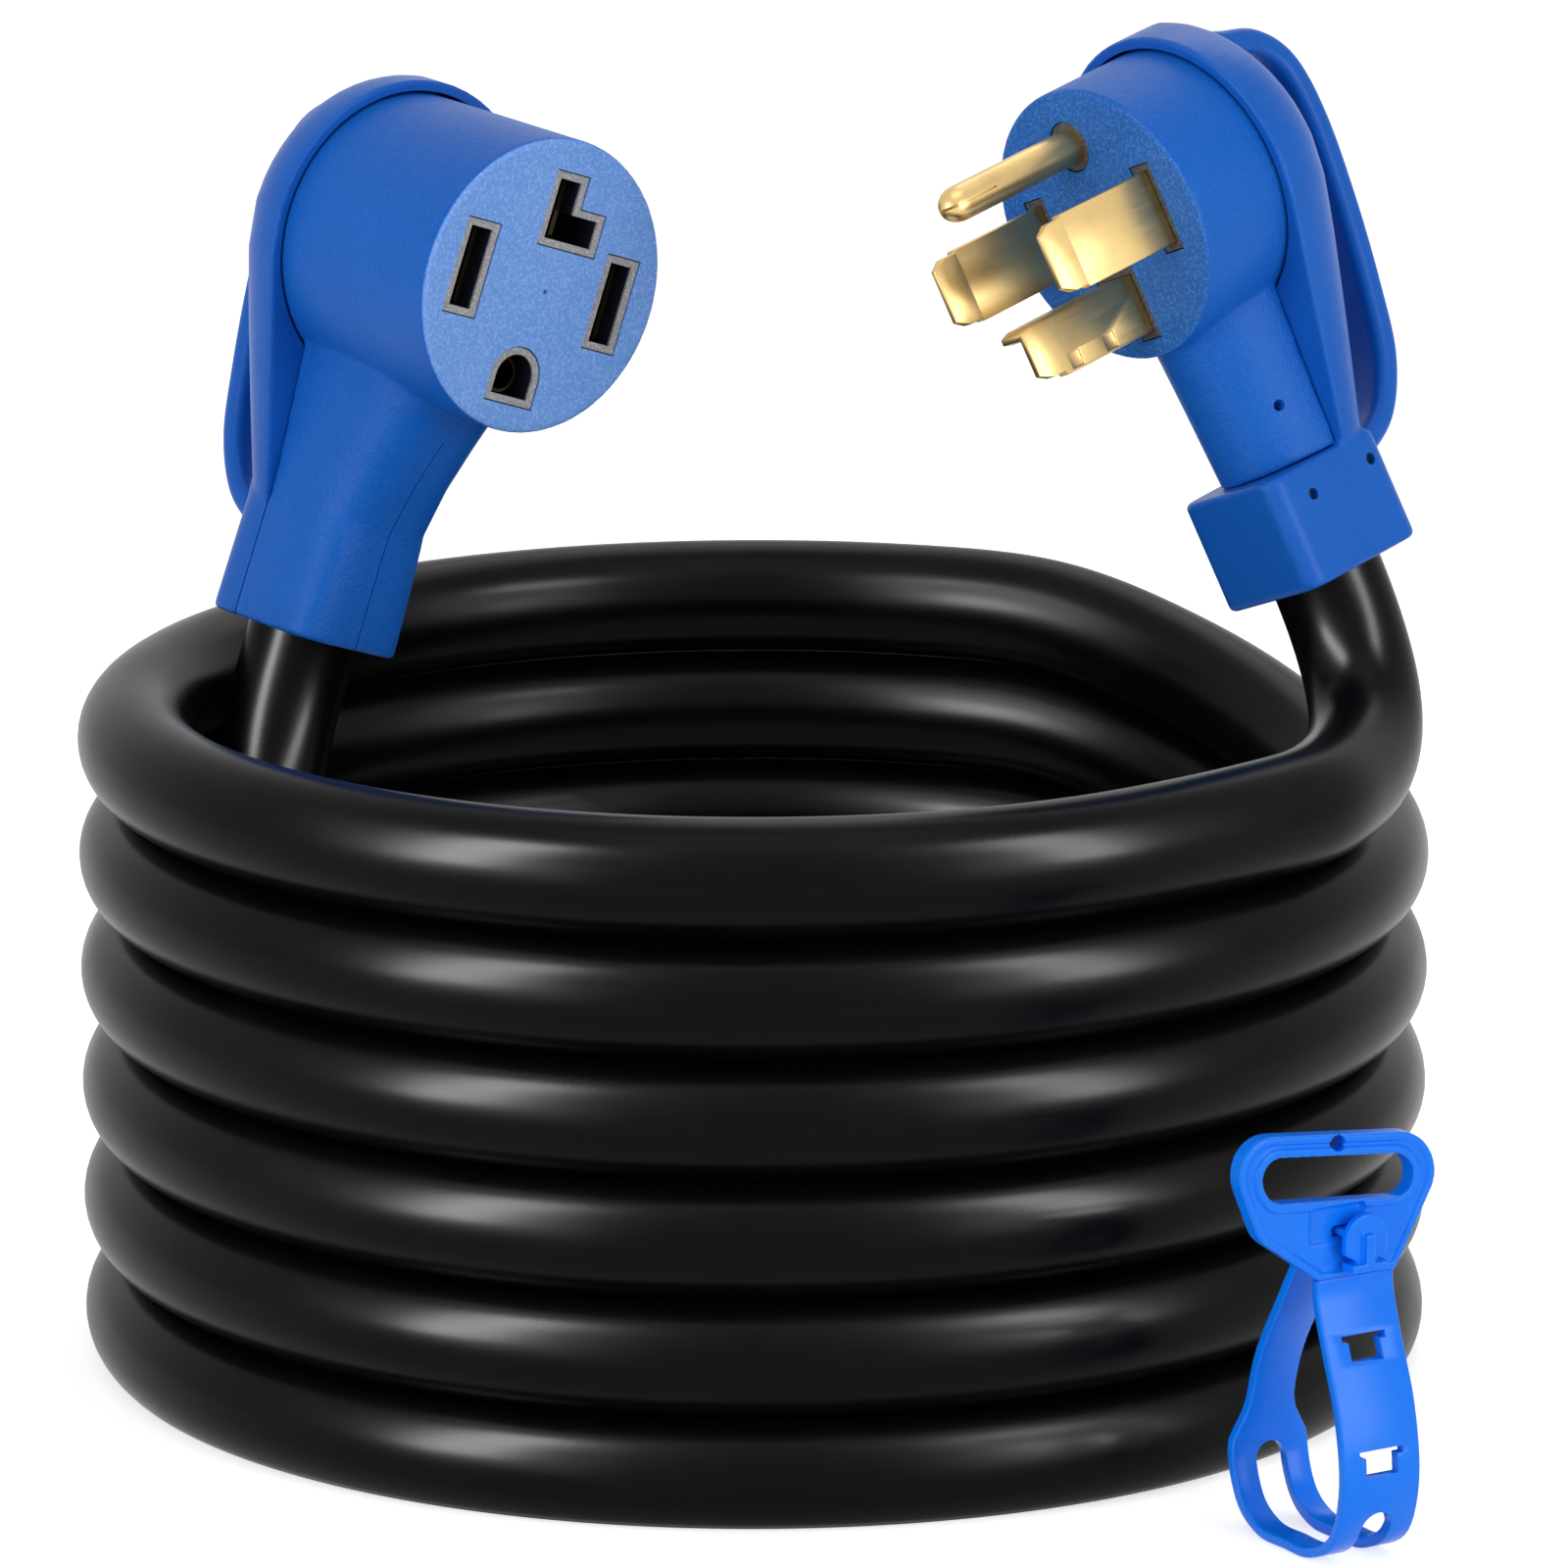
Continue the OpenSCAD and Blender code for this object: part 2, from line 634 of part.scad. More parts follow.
module strap_grip() {
    color("#1677e8") strap_frame() difference() {
        translate([0, plate_y + grip_t / 2, 0]) rotate([90, 0, 0]) linear_extrude(height = grip_t)
            difference() {
                grip_outline();
                grip_opening();
                translate([-slit_w / 2, slit_z - slit_h / 2]) square([slit_w, slit_h]);
            }
        translate([grip_shift, 10, grip_low + grip_h - 2.4]) rotate([90, 0, 0]) cylinder(h = 20, r = hang_r);
        translate([-30, -5, grip_low - 1]) cube([60, 10, 1 + fit / 2]);
    }
}

// The band's far end: a neck that passes the slit, with a round tab and a cross bar in front
module strap_hook() {
    front = plate_y - grip_t / 2;
    color("#1677e8") strap_frame() {
        translate([-slit_w / 2 + 1, front - 2.5, slit_z - 0.55]) cube([slit_w - 2, 6.9 + fit, 1.1]);
        translate([0, front - 1.1, slit_z - 1]) rotate([90, 0, 0]) cylinder(h = tab_t, r = hook_r);
        translate([-bar_w / 2, front - 3.6, slit_z - bar_low]) cube([bar_w, 3.2, 1.3]);
        translate([-0.8, front - 3.6, slit_z - bar_low + 1]) cube([1.6, 2.4, bar_low - 1]);
    }
}

cord_coil();
cord_plug_end();
cord_connector_end();
plug_front_body();
plug_rear_cover();
plug_blade_carrier();
plug_hot_blade(-1);  // plug_hot_blade_left
plug_hot_blade(1);  // plug_hot_blade_right
plug_neutral_blade();
plug_ground_pin();
plug_wire(0, "#202020");  // plug_hot_wire_left
plug_wire(1, "#b02020");  // plug_hot_wire_right
plug_wire(2, "#e8e8e8");  // plug_neutral_wire
plug_wire(3, "#208040");  // plug_ground_wire
color("#303030") plug_frame() cord_seal();  // plug_cord_seal
color("#555555") plug_frame() cover_screws();  // plug_cover_screws
connector_front_body();
connector_rear_cover();
connector_contact_carrier();
connector_hot_contact(-1);  // connector_hot_contact_left
connector_hot_contact(1);  // connector_hot_contact_right
connector_neutral_contact();
connector_ground_contact();
connector_wire(0, "#202020");  // connector_hot_wire_left
connector_wire(1, "#b02020");  // connector_hot_wire_right
connector_wire(2, "#e8e8e8");  // connector_neutral_wire
connector_wire(3, "#208040");  // connector_ground_wire
color("#303030") connector_frame() cord_seal();  // connector_cord_seal
color("#555555") connector_frame() cover_screws();  // connector_cover_screws
strap_band();
strap_grip();
strap_hook();
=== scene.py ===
# A coiled heavy power cord with its plug, its connector and its carrying strap.
# Lengths in the dictionaries are millimetres unless a note says otherwise.
import math
import bmesh
import bpy
from mathutils import Euler, Matrix, Vector


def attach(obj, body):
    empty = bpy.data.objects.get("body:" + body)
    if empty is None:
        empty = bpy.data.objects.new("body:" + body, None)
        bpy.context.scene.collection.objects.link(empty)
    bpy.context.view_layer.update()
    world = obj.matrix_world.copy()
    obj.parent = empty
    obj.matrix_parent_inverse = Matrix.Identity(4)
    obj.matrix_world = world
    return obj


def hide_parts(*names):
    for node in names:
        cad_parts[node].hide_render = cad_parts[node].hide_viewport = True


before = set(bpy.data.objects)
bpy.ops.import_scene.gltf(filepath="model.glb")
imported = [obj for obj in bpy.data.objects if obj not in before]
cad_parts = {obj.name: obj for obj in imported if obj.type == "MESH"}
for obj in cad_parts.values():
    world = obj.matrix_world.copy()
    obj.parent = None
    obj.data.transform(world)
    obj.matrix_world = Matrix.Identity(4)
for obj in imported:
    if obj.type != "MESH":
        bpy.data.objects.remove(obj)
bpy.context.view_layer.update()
print("frame loaded")

mm = 0.001
cordBody = "cord"
strapBody = "strap"

# where the two heads and the strap stand: turn in degrees, the mouth that the cord enters, and the way on from it
plugHead = {
    "turn": (104.24, -19.98, -51.14), "mouth": (94.5, -6.5, 133.0), "up": (-0.399, 0.104, 0.911),
    "radius": 23.5, "reach": 14.5,
}
connectorHead = {
    "turn": (93.66, 18.68, 40.76), "mouth": (-76.0, 26.0, 115.5), "up": (0.284, 0.160, 0.945),
    "radius": 25.0, "reach": 34.0,
}
headShape = {
    "neckLength": 48.5, "sleeveLength": 19.5, "seam": -4.0, "lap": 6.0, "wall": 2.4, "faceWall": 3.0,
    "handGap": 0.6, "fit": 0.2, "rim": 1.2, "faceEdge": 0.5, "overlap": 0.1, "neckBore": 8.0, "frontBore": 54.0,
    "mouthDeep": 4.0, "mouthGap": 0.3, "sleeveWidth": 24.0, "sleeveDepth": 26.5, "sleeveFront": 14.0,
    "sleeveCorner": 3.4, "voxel": 0.42, "smoothSteps": 4,
}
mouthDrop = headShape["neckLength"] + headShape["sleeveLength"]
quarterX = Matrix.Rotation(math.radians(90), 4, "X")
quarterY = Matrix.Rotation(math.radians(90), 4, "Y")


def headMatrix(head):
    place = Vector(head["mouth"]) + mouthDrop * Vector(head["up"])
    turn = Euler([math.radians(a) for a in head["turn"]], "XYZ").to_matrix().to_4x4()
    return Matrix.Translation(place) @ turn


for head in (plugHead, connectorHead):
    head["matrix"] = headMatrix(head)
strapMatrix = Matrix.Translation((94.0, -122.0, 0.0)) @ Matrix.Rotation(math.radians(32.0), 4, "Z")


# mesh helpers
def meshObject(name, verts, faces):
    mesh = bpy.data.meshes.new(name)
    mesh.from_pydata([tuple(v) for v in verts], [], faces)
    work = bmesh.new()
    work.from_mesh(mesh)
    bmesh.ops.remove_doubles(work, verts=work.verts, dist=1e-5)
    bmesh.ops.recalc_face_normals(work, faces=work.faces)
    work.to_mesh(mesh)
    work.free()
    obj = bpy.data.objects.new(name, mesh)
    bpy.context.scene.collection.objects.link(obj)
    return obj


def bake(obj):
    graph = bpy.context.evaluated_depsgraph_get()
    done = bpy.data.meshes.new_from_object(obj.evaluated_get(graph))
    old = obj.data
    obj.modifiers.clear()
    obj.data = done
    bpy.data.meshes.remove(old)
    return obj


def drop(obj):
    mesh = obj.data
    bpy.data.objects.remove(obj)
    bpy.data.meshes.remove(mesh)


def turned(profile, steps=96):
    # a closed turned solid from (radius, height) points that start and end on the axis
    verts, rings, faces = [], [], []
    for radius, height in profile:
        if radius < 1e-6:
            rings.append([len(verts)])
            verts.append((0, 0, height))
            continue
        rings.append(list(range(len(verts), len(verts) + steps)))
        for k in range(steps):
            a = 2 * math.pi * k / steps
            verts.append((radius * math.cos(a), radius * math.sin(a), height))
    for low, high in zip(rings, rings[1:]):
        for k in range(steps):
            n = (k + 1) % steps
            if len(low) == 1:
                faces.append((low[0], high[k], high[n]))
            elif len(high) == 1:
                faces.append((low[k], low[n], high[0]))
            else:
                faces.append((low[k], low[n], high[n], high[k]))
    return verts, faces


def rod(radius, low, high, steps=64):
    return turned([(0, low), (radius, low), (radius, high), (0, high)], steps)


def lofted(rings):
    # a closed solid through rings of points, each ring with as many points
    count = len(rings[0])
    verts = [p for ring in rings for p in ring]
    faces = [tuple(range(count)), tuple(range((len(rings) - 1) * count, len(rings) * count))]
    for i in range(len(rings) - 1):
        for k in range(count):
            n = (k + 1) % count
            a, b = i * count, (i + 1) * count
            faces.append((a + k, a + n, b + n, b + k))
    return verts, faces


def prism(outline, low, high):
    return lofted([[(x, y, low) for x, y in outline], [(x, y, high) for x, y in outline]])


def moved(shape, matrix):
    return [matrix @ Vector(v) for v in shape[0]], shape[1]


def upright(outline, low, high):
    # a flat outline stood up, with its thickness along -Y
    return moved(prism(outline, low, high), quarterX)


def joined(name, shapes):
    verts, faces = [], []
    for shapeVerts, shapeFaces in shapes:
        start = len(verts)
        verts += list(shapeVerts)
        faces += [tuple(start + i for i in face) for face in shapeFaces]
    return meshObject(name, verts, faces)


def blended(name, shapes, voxel, steps):
    return melted(joined(name, shapes), voxel, steps)


def melted(obj, voxel, steps):
    # one moulded skin with soft corners
    remesh = obj.modifiers.new("remesh", "REMESH")
    remesh.mode = "VOXEL"
    remesh.voxel_size = voxel
    smooth = obj.modifiers.new("smooth", "SMOOTH")
    smooth.factor = 0.6
    smooth.iterations = steps
    return bake(obj)


def cut(obj, shapes):
    for shape in shapes:
        tool = joined("cutter", [shape])
        boolean = obj.modifiers.new("cut", "BOOLEAN")
        boolean.operation = "DIFFERENCE"
        boolean.solver = "EXACT"
        boolean.object = tool
        bake(obj)
        drop(tool)
    return obj


def rounded(obj, width, segments=2, angle=35):
    bevel = obj.modifiers.new("round", "BEVEL")
    bevel.width = width
    bevel.segments = segments
    bevel.limit_method = "ANGLE"
    bevel.angle_limit = math.radians(angle)
    bevel.harden_normals = False
    return bake(obj)


def shade(obj, angle=40):
    obj.data.polygons.foreach_set("use_smooth", [True] * len(obj.data.polygons))
    if angle < 180:
        obj.data.set_sharp_from_angle(angle=math.radians(angle))
    return obj


def placed(obj, matrix):
    obj.data.transform(Matrix.Scale(mm, 4) @ matrix)
    obj.data.update()
    return obj


def finishPiece(obj, material, body, slot, *nodes):
    obj.data.materials.clear()
    obj.data.materials.append(material)
    if nodes:
        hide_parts(*nodes)
    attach(obj, body)
    return obj


def roundedBox(width, height, corner, steps=6):
    # outline of a rounded rectangle round the origin
    points = []
    for sx, sy, start in ((1, 1, 0), (-1, 1, 90), (-1, -1, 180), (1, -1, 270)):
        for k in range(steps + 1):
            a = math.radians(start + 90 * k / steps)
            points.append((sx * (width / 2 - corner) + corner * math.cos(a),
                           sy * (height / 2 - corner) + corner * math.sin(a)))
    return points


def box(x0, x1, y0, y1, z0, z1):
    return prism([(x0, y0), (x1, y0), (x1, y1), (x0, y1)], z0, z1)


def throughPoints(points, steps):
    # a smooth line through given points
    out = []
    last = len(points) - 1
    for i in range(last):
        a, b = Vector(points[max(i - 1, 0)]), Vector(points[i])
        c, d = Vector(points[i + 1]), Vector(points[min(i + 2, last)])
        for k in range(steps):
            t = k / steps
            out.append(0.5 * (2 * b + (c - a) * t + (2 * a - 5 * b + 4 * c - d) * t * t
                              + (3 * b - a - 3 * c + d) * t * t * t))
    out.append(Vector(points[-1]))
    return out


# materials
def newMaterial(name):
    material = bpy.data.materials.new(name)
    material.use_nodes = True
    return material, material.node_tree, material.node_tree.nodes["Principled BSDF"]


def newGroup(name, inputs, outputs):
    group = bpy.data.node_groups.new(name, "ShaderNodeTree")
    for label, kind, value in inputs:
        socket = group.interface.new_socket(label, in_out="INPUT", socket_type=kind)
        if value is not None:
            socket.default_value = value
    for label, kind in outputs:
        group.interface.new_socket(label, in_out="OUTPUT", socket_type=kind)
    start = group.nodes.new("NodeGroupInput")
    end = group.nodes.new("NodeGroupOutput")
    return group, start, end


def mathNode(tree, operation, *values):
    node = tree.nodes.new("ShaderNodeMath")
    node.operation = operation
    for socket, value in zip(node.inputs, values):
        if isinstance(value, (int, float)):
            socket.default_value = value
        else:
            tree.links.new(value, socket)
    return node.outputs[0]


def mixColours(tree, share, first, second):
    node = tree.nodes.new("ShaderNodeMix")
    node.data_type = "RGBA"
    for socket, value in ((node.inputs["Factor"], share), (node.inputs[6], first), (node.inputs[7], second)):
        if isinstance(value, (int, float, tuple)):
            socket.default_value = value
        else:
            tree.links.new(value, socket)
    return node.outputs[2]


def noiseNode(tree, vector, scale, detail=3.0, roughness=0.55):
    node = tree.nodes.new("ShaderNodeTexNoise")
    tree.links.new(vector, node.inputs["Vector"])
    if isinstance(scale, (int, float)):
        node.inputs["Scale"].default_value = scale
    else:
        tree.links.new(scale, node.inputs["Scale"])
    node.inputs["Detail"].default_value = detail
    node.inputs["Roughness"].default_value = roughness
    return node.outputs["Fac"]


def spread(tree, value, low, high, toLow, toHigh):
    node = tree.nodes.new("ShaderNodeMapRange")
    tree.links.new(value, node.inputs["Value"])
    for label, number in (("From Min", low), ("From Max", high), ("To Min", toLow), ("To Max", toHigh)):
        if isinstance(number, (int, float)):
            node.inputs[label].default_value = number
        else:
            tree.links.new(number, node.inputs[label])
    return node.outputs["Result"]


grainShape = {"driftScale": 38.0, "scuffScale": 420.0, "scuffHeight": 0.35, "speckFrom": 0.48, "speckTo": 0.62}


def makeMouldedGrain():
    # fine spark-eroded grain with slow colour drift, scuffs and a few pale specks
    group, start, end = newGroup(
        "mouldedGrain",
        [("Vector", "NodeSocketVector", None), ("Colour", "NodeSocketColor", (0.1, 0.2, 0.5, 1)),
         ("Worn Colour", "NodeSocketColor", (0.2, 0.3, 0.6, 1)), ("Grain Scale", "NodeSocketFloat", 2400.0),
         ("Drift", "NodeSocketFloat", 0.3), ("Specks", "NodeSocketFloat", 0.2),
         ("Roughness", "NodeSocketFloat", 0.45), ("Rough Spread", "NodeSocketFloat", 0.08)],
        [("Colour", "NodeSocketColor"), ("Roughness", "NodeSocketFloat"), ("Height", "NodeSocketFloat")])
    vector = start.outputs["Vector"]
    grain = noiseNode(group, vector, start.outputs["Grain Scale"], 2.0, 0.6)
    slow = noiseNode(group, vector, grainShape["driftScale"], 4.0, 0.6)
    scuff = noiseNode(group, vector, grainShape["scuffScale"], 5.0, 0.7)
    driftShare = mathNode(group, "MULTIPLY", spread(group, slow, 0.35, 0.7, 0.0, 1.0), start.outputs["Drift"])
    speckMask = spread(group, grain, grainShape["speckFrom"], grainShape["speckTo"], 0.0, 1.0)
    speckShare = mathNode(group, "MULTIPLY", speckMask, start.outputs["Specks"])
    share = mathNode(group, "MINIMUM", mathNode(group, "ADD", driftShare, speckShare), 1.0)
    colour = mixColours(group, share, start.outputs["Colour"], start.outputs["Worn Colour"])
    group.links.new(colour, end.inputs["Colour"])
    wander = mathNode(group, "MULTIPLY", mathNode(group, "SUBTRACT", scuff, 0.5), start.outputs["Rough Spread"])
    rough = mathNode(group, "ADD", mathNode(group, "MULTIPLY", wander, 2.0), start.outputs["Roughness"])
    group.links.new(rough, end.inputs["Roughness"])
    height = mathNode(group, "ADD", grain, mathNode(group, "MULTIPLY", scuff, grainShape["scuffHeight"]))
    group.links.new(height, end.inputs["Height"])
    return group


def makeRubMarks():
    # thin dust and rub marks, as a mask that changes over the surface
    group, start, end = newGroup(
        "rubMarks",
        [("Vector", "NodeSocketVector", None), ("Scale", "NodeSocketFloat", 60.0), ("Amount", "NodeSocketFloat", 0.5)],
        [("Mask", "NodeSocketFloat")])
    patch = noiseNode(group, start.outputs["Vector"], start.outputs["Scale"], 6.0, 0.62)
    fine = noiseNode(group, start.outputs["Vector"], 1900.0, 3.0, 0.7)
    both = mathNode(group, "MULTIPLY", spread(group, patch, 0.45, 0.75, 0.0, 1.0),
                    spread(group, fine, 0.4, 0.7, 0.2, 1.0))
    group.links.new(mathNode(group, "MULTIPLY", both, start.outputs["Amount"]), end.inputs["Mask"])
    return group


mouldedGrain = makeMouldedGrain()
rubMarks = makeRubMarks()


def placeGroup(tree, group, values):
    node = tree.nodes.new("ShaderNodeGroup")
    node.node_tree = group
    for label, value in values.items():
        if hasattr(value, "is_output"):
            tree.links.new(value, node.inputs[label])
        else:
            node.inputs[label].default_value = value
    return node


def objectCoords(tree, matrix=None, squeeze=(1, 1, 1)):
    coords = tree.nodes.new("ShaderNodeTexCoord").outputs["Object"]
    if matrix is None:
        return coords
    mapping = tree.nodes.new("ShaderNodeMapping")
    mapping.vector_type = "TEXTURE"
    mapping.inputs["Location"].default_value = matrix.translation * mm
    mapping.inputs["Rotation"].default_value = matrix.to_euler("XYZ")
    mapping.inputs["Scale"].default_value = squeeze
    tree.links.new(coords, mapping.inputs["Vector"])
    return mapping.outputs["Vector"]


def addBump(tree, shader, height, strength, distance):
    bump = tree.nodes.new("ShaderNodeBump")
    bump.inputs["Strength"].default_value = strength
    bump.inputs["Distance"].default_value = distance
    tree.links.new(height, bump.inputs["Height"])
    tree.links.new(bump.outputs["Normal"], shader.inputs["Normal"])


def placeGrain(tree, coords, look):
    values = {label: look[key] for label, key in grainInputs.items() if key in look}
    return placeGroup(tree, mouldedGrain, {"Vector": coords, **values})


def plasticMaterial(name, look):
    material, tree, shader = newMaterial(name)
    coords = objectCoords(tree)
    grain = placeGrain(tree, coords, look)
    dust = placeGroup(tree, rubMarks, {"Vector": coords, "Scale": look["dustScale"], "Amount": look["dust"]})
    colour = mixColours(tree, dust.outputs["Mask"], grain.outputs["Colour"], look["dustColour"])
    tree.links.new(colour, shader.inputs["Base Color"])
    tree.links.new(grain.outputs["Roughness"], shader.inputs["Roughness"])
    shader.inputs["Specular IOR Level"].default_value = look["specular"]
    addBump(tree, shader, grain.outputs["Height"], look["bump"], look["bumpDepth"])
    return material


grainInputs = {"Colour": "colour", "Worn Colour": "worn", "Grain Scale": "grain", "Drift": "drift",
               "Specks": "specks", "Roughness": "rough", "Rough Spread": "roughSpread"}
# what the two inserts and the two faces share
insertLook = {"grain": 2400.0, "drift": 0.20, "specks": 0.6, "rough": 0.55, "roughSpread": 0.10, "dustScale": 80.0,
              "dust": 0.05, "specular": 0.3, "bump": 0.35, "bumpDepth": 0.00010}
faceLook = {"grain": 1900.0, "specks": 0.85}
looks = {
    "body": {"colour": (0.004, 0.106, 0.490, 1), "worn": (0.014, 0.142, 0.570, 1), "grain": 1700.0, "drift": 0.30,
             "specks": 0.40, "rough": 0.42, "roughSpread": 0.08, "dustScale": 55.0, "dust": 0.04,
             "dustColour": (0.06, 0.20, 0.60, 1), "specular": 0.16, "bump": 0.6, "bumpDepth": 0.00022},
    "plugFace": dict(faceLook, colour=(0.012, 0.120, 0.460, 1), worn=(0.060, 0.210, 0.600, 1), drift=0.25),
    "connectorFace": dict(faceLook, colour=(0.130, 0.310, 0.760, 1), worn=(0.250, 0.440, 0.880, 1), drift=0.35),
    "cover": {"colour": (0.004, 0.099, 0.470, 1), "worn": (0.012, 0.130, 0.540, 1), "grain": 1700.0, "drift": 0.30,
              "specks": 0.25, "rough": 0.36, "roughSpread": 0.08, "dustScale": 50.0, "dust": 0.04,
              "dustColour": (0.05, 0.18, 0.58, 1), "specular": 0.18, "bump": 0.35, "bumpDepth": 0.00015},
    "strap": {"colour": (0.001, 0.175, 0.860, 1), "worn": (0.004, 0.200, 0.900, 1), "grain": 900.0, "drift": 0.3,
              "specks": 0.0, "rough": 0.27, "roughSpread": 0.06, "dustScale": 90.0, "dust": 0.03,
              "dustColour": (0.05, 0.28, 0.88, 1), "specular": 0.22, "bump": 0.03, "bumpDepth": 0.00010},
    "plugInsert": dict(insertLook, colour=(0.050, 0.050, 0.053, 1), worn=(0.170, 0.170, 0.175, 1),
                       dustColour=(0.2, 0.2, 0.2, 1)),
    "connectorInsert": dict(insertLook, colour=(0.270, 0.270, 0.275, 1), worn=(0.560, 0.560, 0.570, 1),
                            dustColour=(0.5, 0.5, 0.5, 1)),
    "seal": {"colour": (0.020, 0.020, 0.021, 1), "worn": (0.040, 0.040, 0.042, 1), "grain": 1500.0, "drift": 0.3,
             "specks": 0.1, "rough": 0.60, "roughSpread": 0.08, "dustScale": 60.0, "dust": 0.10,
             "dustColour": (0.10, 0.10, 0.10, 1), "specular": 0.30, "bump": 0.20, "bumpDepth": 0.00010},
}
plastics = {name: plasticMaterial(name + "Plastic", looks[name])
            for name in ("cover", "strap", "plugInsert", "connectorInsert", "seal")}


def heightMask(tree, head, low, high):
    # 0 below low and 1 above high, measured down from a head's face
    local = tree.nodes.new("ShaderNodeSeparateXYZ")
    tree.links.new(objectCoords(tree, head["matrix"]), local.inputs[0])
    return spread(tree, local.outputs["Z"], (head["reach"] - low) * mm, (head["reach"] - high) * mm, 0.0, 1.0)


# painted shade in the connector's openings: the depths below the face where it is darkest and where it ends, and its
# colour
openingShade = {"dark": 0.95, "pale": 0.45, "colour": (0.004, 0.006, 0.014, 1)}
faceFade = {"body": 0.45, "face": 0.20}


def paintShadeInOpenings(material, head):
    # painted shade: inside the openings the insert falls off to a near-black blue, where the slots lie in shade
    tree = material.node_tree
    base = tree.nodes["Principled BSDF"].inputs["Base Color"]
    mask = heightMask(tree, head, openingShade["dark"], openingShade["pale"])
    tree.links.new(mixColours(tree, mask, openingShade["colour"], base.links[0].from_socket), base)


def headPlastic(prefix, head):
    # the flat face carries a paler, grainier finish than the round body behind it
    material = plasticMaterial(prefix + "BodyPlastic", looks["body"])
    tree = material.node_tree
    base = tree.nodes["Principled BSDF"].inputs["Base Color"]
    mask = heightMask(tree, head, faceFade["body"], faceFade["face"])
    grain = placeGrain(tree, objectCoords(tree), looks[prefix + "Face"])
    tree.links.new(mixColours(tree, mask, base.links[0].from_socket, grain.outputs["Colour"]), base)
    return material


# the connector's carrier gets painted shade inside its openings
paintShadeInOpenings(plastics["connectorInsert"], connectorHead)


def wireMaterial(name, colour):
    # worn places and dust are a little paler than the wire's own colour
    worn = tuple(min(1.0, c * 1.35 + 0.01) for c in colour[:3]) + (1,)
    dusty = tuple(0.7 * c + 0.1 for c in colour[:3]) + (1,)
    return plasticMaterial(name, dict(looks["seal"], colour=colour, worn=worn, rough=0.38, dustColour=dusty))


cordLook = {"colour": (0.0015, 0.0015, 0.0018, 1), "rubbed": (0.006, 0.006, 0.007, 1), "rough": 0.27,
            "roughLess": 0.035, "roughMore": 0.045, "specular": 0.06, "rippleScale": 26.0, "ripple": 0.30,
            "rippleDepth": 0.00020, "grainScale": 900.0, "grain": 0.03, "rubScale": 45.0, "rubAmount": 0.30,
            "rubRough": 0.12}


def jacketMaterial():
    # glossy extruded jacket: slow ripples along the cord, faint rub marks
    look = cordLook
    material, tree, shader = newMaterial("jacketBlack")
    coords = objectCoords(tree)
    rubs = placeGroup(tree, rubMarks, {"Vector": coords, "Scale": look["rubScale"], "Amount": look["rubAmount"]})
    rubbed = rubs.outputs["Mask"]
    tree.links.new(mixColours(tree, rubbed, look["colour"], look["rubbed"]), shader.inputs["Base Color"])
    slow = noiseNode(tree, coords, look["rippleScale"], 2.0, 0.5)
    fine = noiseNode(tree, coords, look["grainScale"], 4.0, 0.6)
    even = spread(tree, slow, 0.3, 0.7, look["rough"] - look["roughLess"], look["rough"] + look["roughMore"])
    rough = mathNode(tree, "ADD", even, mathNode(tree, "MULTIPLY", rubbed, look["rubRough"]))
    tree.links.new(rough, shader.inputs["Roughness"])
    shader.inputs["Specular IOR Level"].default_value = look["specular"]
    height = mathNode(tree, "ADD", slow, mathNode(tree, "MULTIPLY", fine, look["grain"]))
    addBump(tree, shader, height, look["ripple"], look["rippleDepth"])
    return material


brassLook = {"colour": (0.700, 0.500, 0.215, 1), "deep": (0.420, 0.270, 0.100, 1), "rough": 0.34, "roughLess": 0.04,
             "roughMore": 0.06, "drawn": (0.05, 0.05, 1.0), "lineScale": 160.0, "patchScale": 160.0, "brush": 0.02,
             "brushDepth": 0.00005, "patches": 0.35, "streaks": 0.03}
# brass darkened to near black for the connector's contacts deep in its openings: painted shade
paintedShadeBrassLook = dict(brassLook, colour=(0.055, 0.040, 0.020, 1), deep=(0.020, 0.015, 0.010, 1))
steelLook = {"colour": (0.10, 0.10, 0.11, 1), "bright": (0.22, 0.22, 0.23, 1), "markScale": 700.0, "gloss": 0.35,
             "dull": 0.5}


def brassMaterial(name, matrix, look):
    # brass drawn along the blades, with tarnish in patches
    material, tree, shader = newMaterial(name)
    lines = noiseNode(tree, objectCoords(tree, matrix, look["drawn"]), look["lineScale"], 5.0, 0.65)
    patch = noiseNode(tree, objectCoords(tree), look["patchScale"], 4.0, 0.6)
    tarnish = mathNode(tree, "ADD", spread(tree, patch, 0.45, 0.8, 0.0, look["patches"]),
                       spread(tree, lines, 0.3, 0.7, 0.0, look["streaks"]))
    tree.links.new(mixColours(tree, tarnish, look["colour"], look["deep"]), shader.inputs["Base Color"])
    shader.inputs["Metallic"].default_value = 1.0
    rough = spread(tree, lines, 0.3, 0.7, look["rough"] - look["roughLess"], look["rough"] + look["roughMore"])
    tree.links.new(rough, shader.inputs["Roughness"])
    addBump(tree, shader, lines, look["brush"], look["brushDepth"])
    return material


def steelMaterial():
    material, tree, shader = newMaterial("darkSteel")
    mark = noiseNode(tree, objectCoords(tree), steelLook["markScale"], 4.0, 0.6)
    tree.links.new(mixColours(tree, mark, steelLook["colour"], steelLook["bright"]), shader.inputs["Base Color"])
    shader.inputs["Metallic"].default_value = 1.0
    tree.links.new(spread(tree, mark, 0.3, 0.7, steelLook["gloss"], steelLook["dull"]), shader.inputs["Roughness"])
    return material


jacketBlack = jacketMaterial()
plugBrass = brassMaterial("plugBrass", plugHead["matrix"], brassLook)
connectorShadedBrass = brassMaterial("connectorShadedBrass", connectorHead["matrix"], paintedShadeBrassLook)
darkSteel = steelMaterial()
print("materials made")

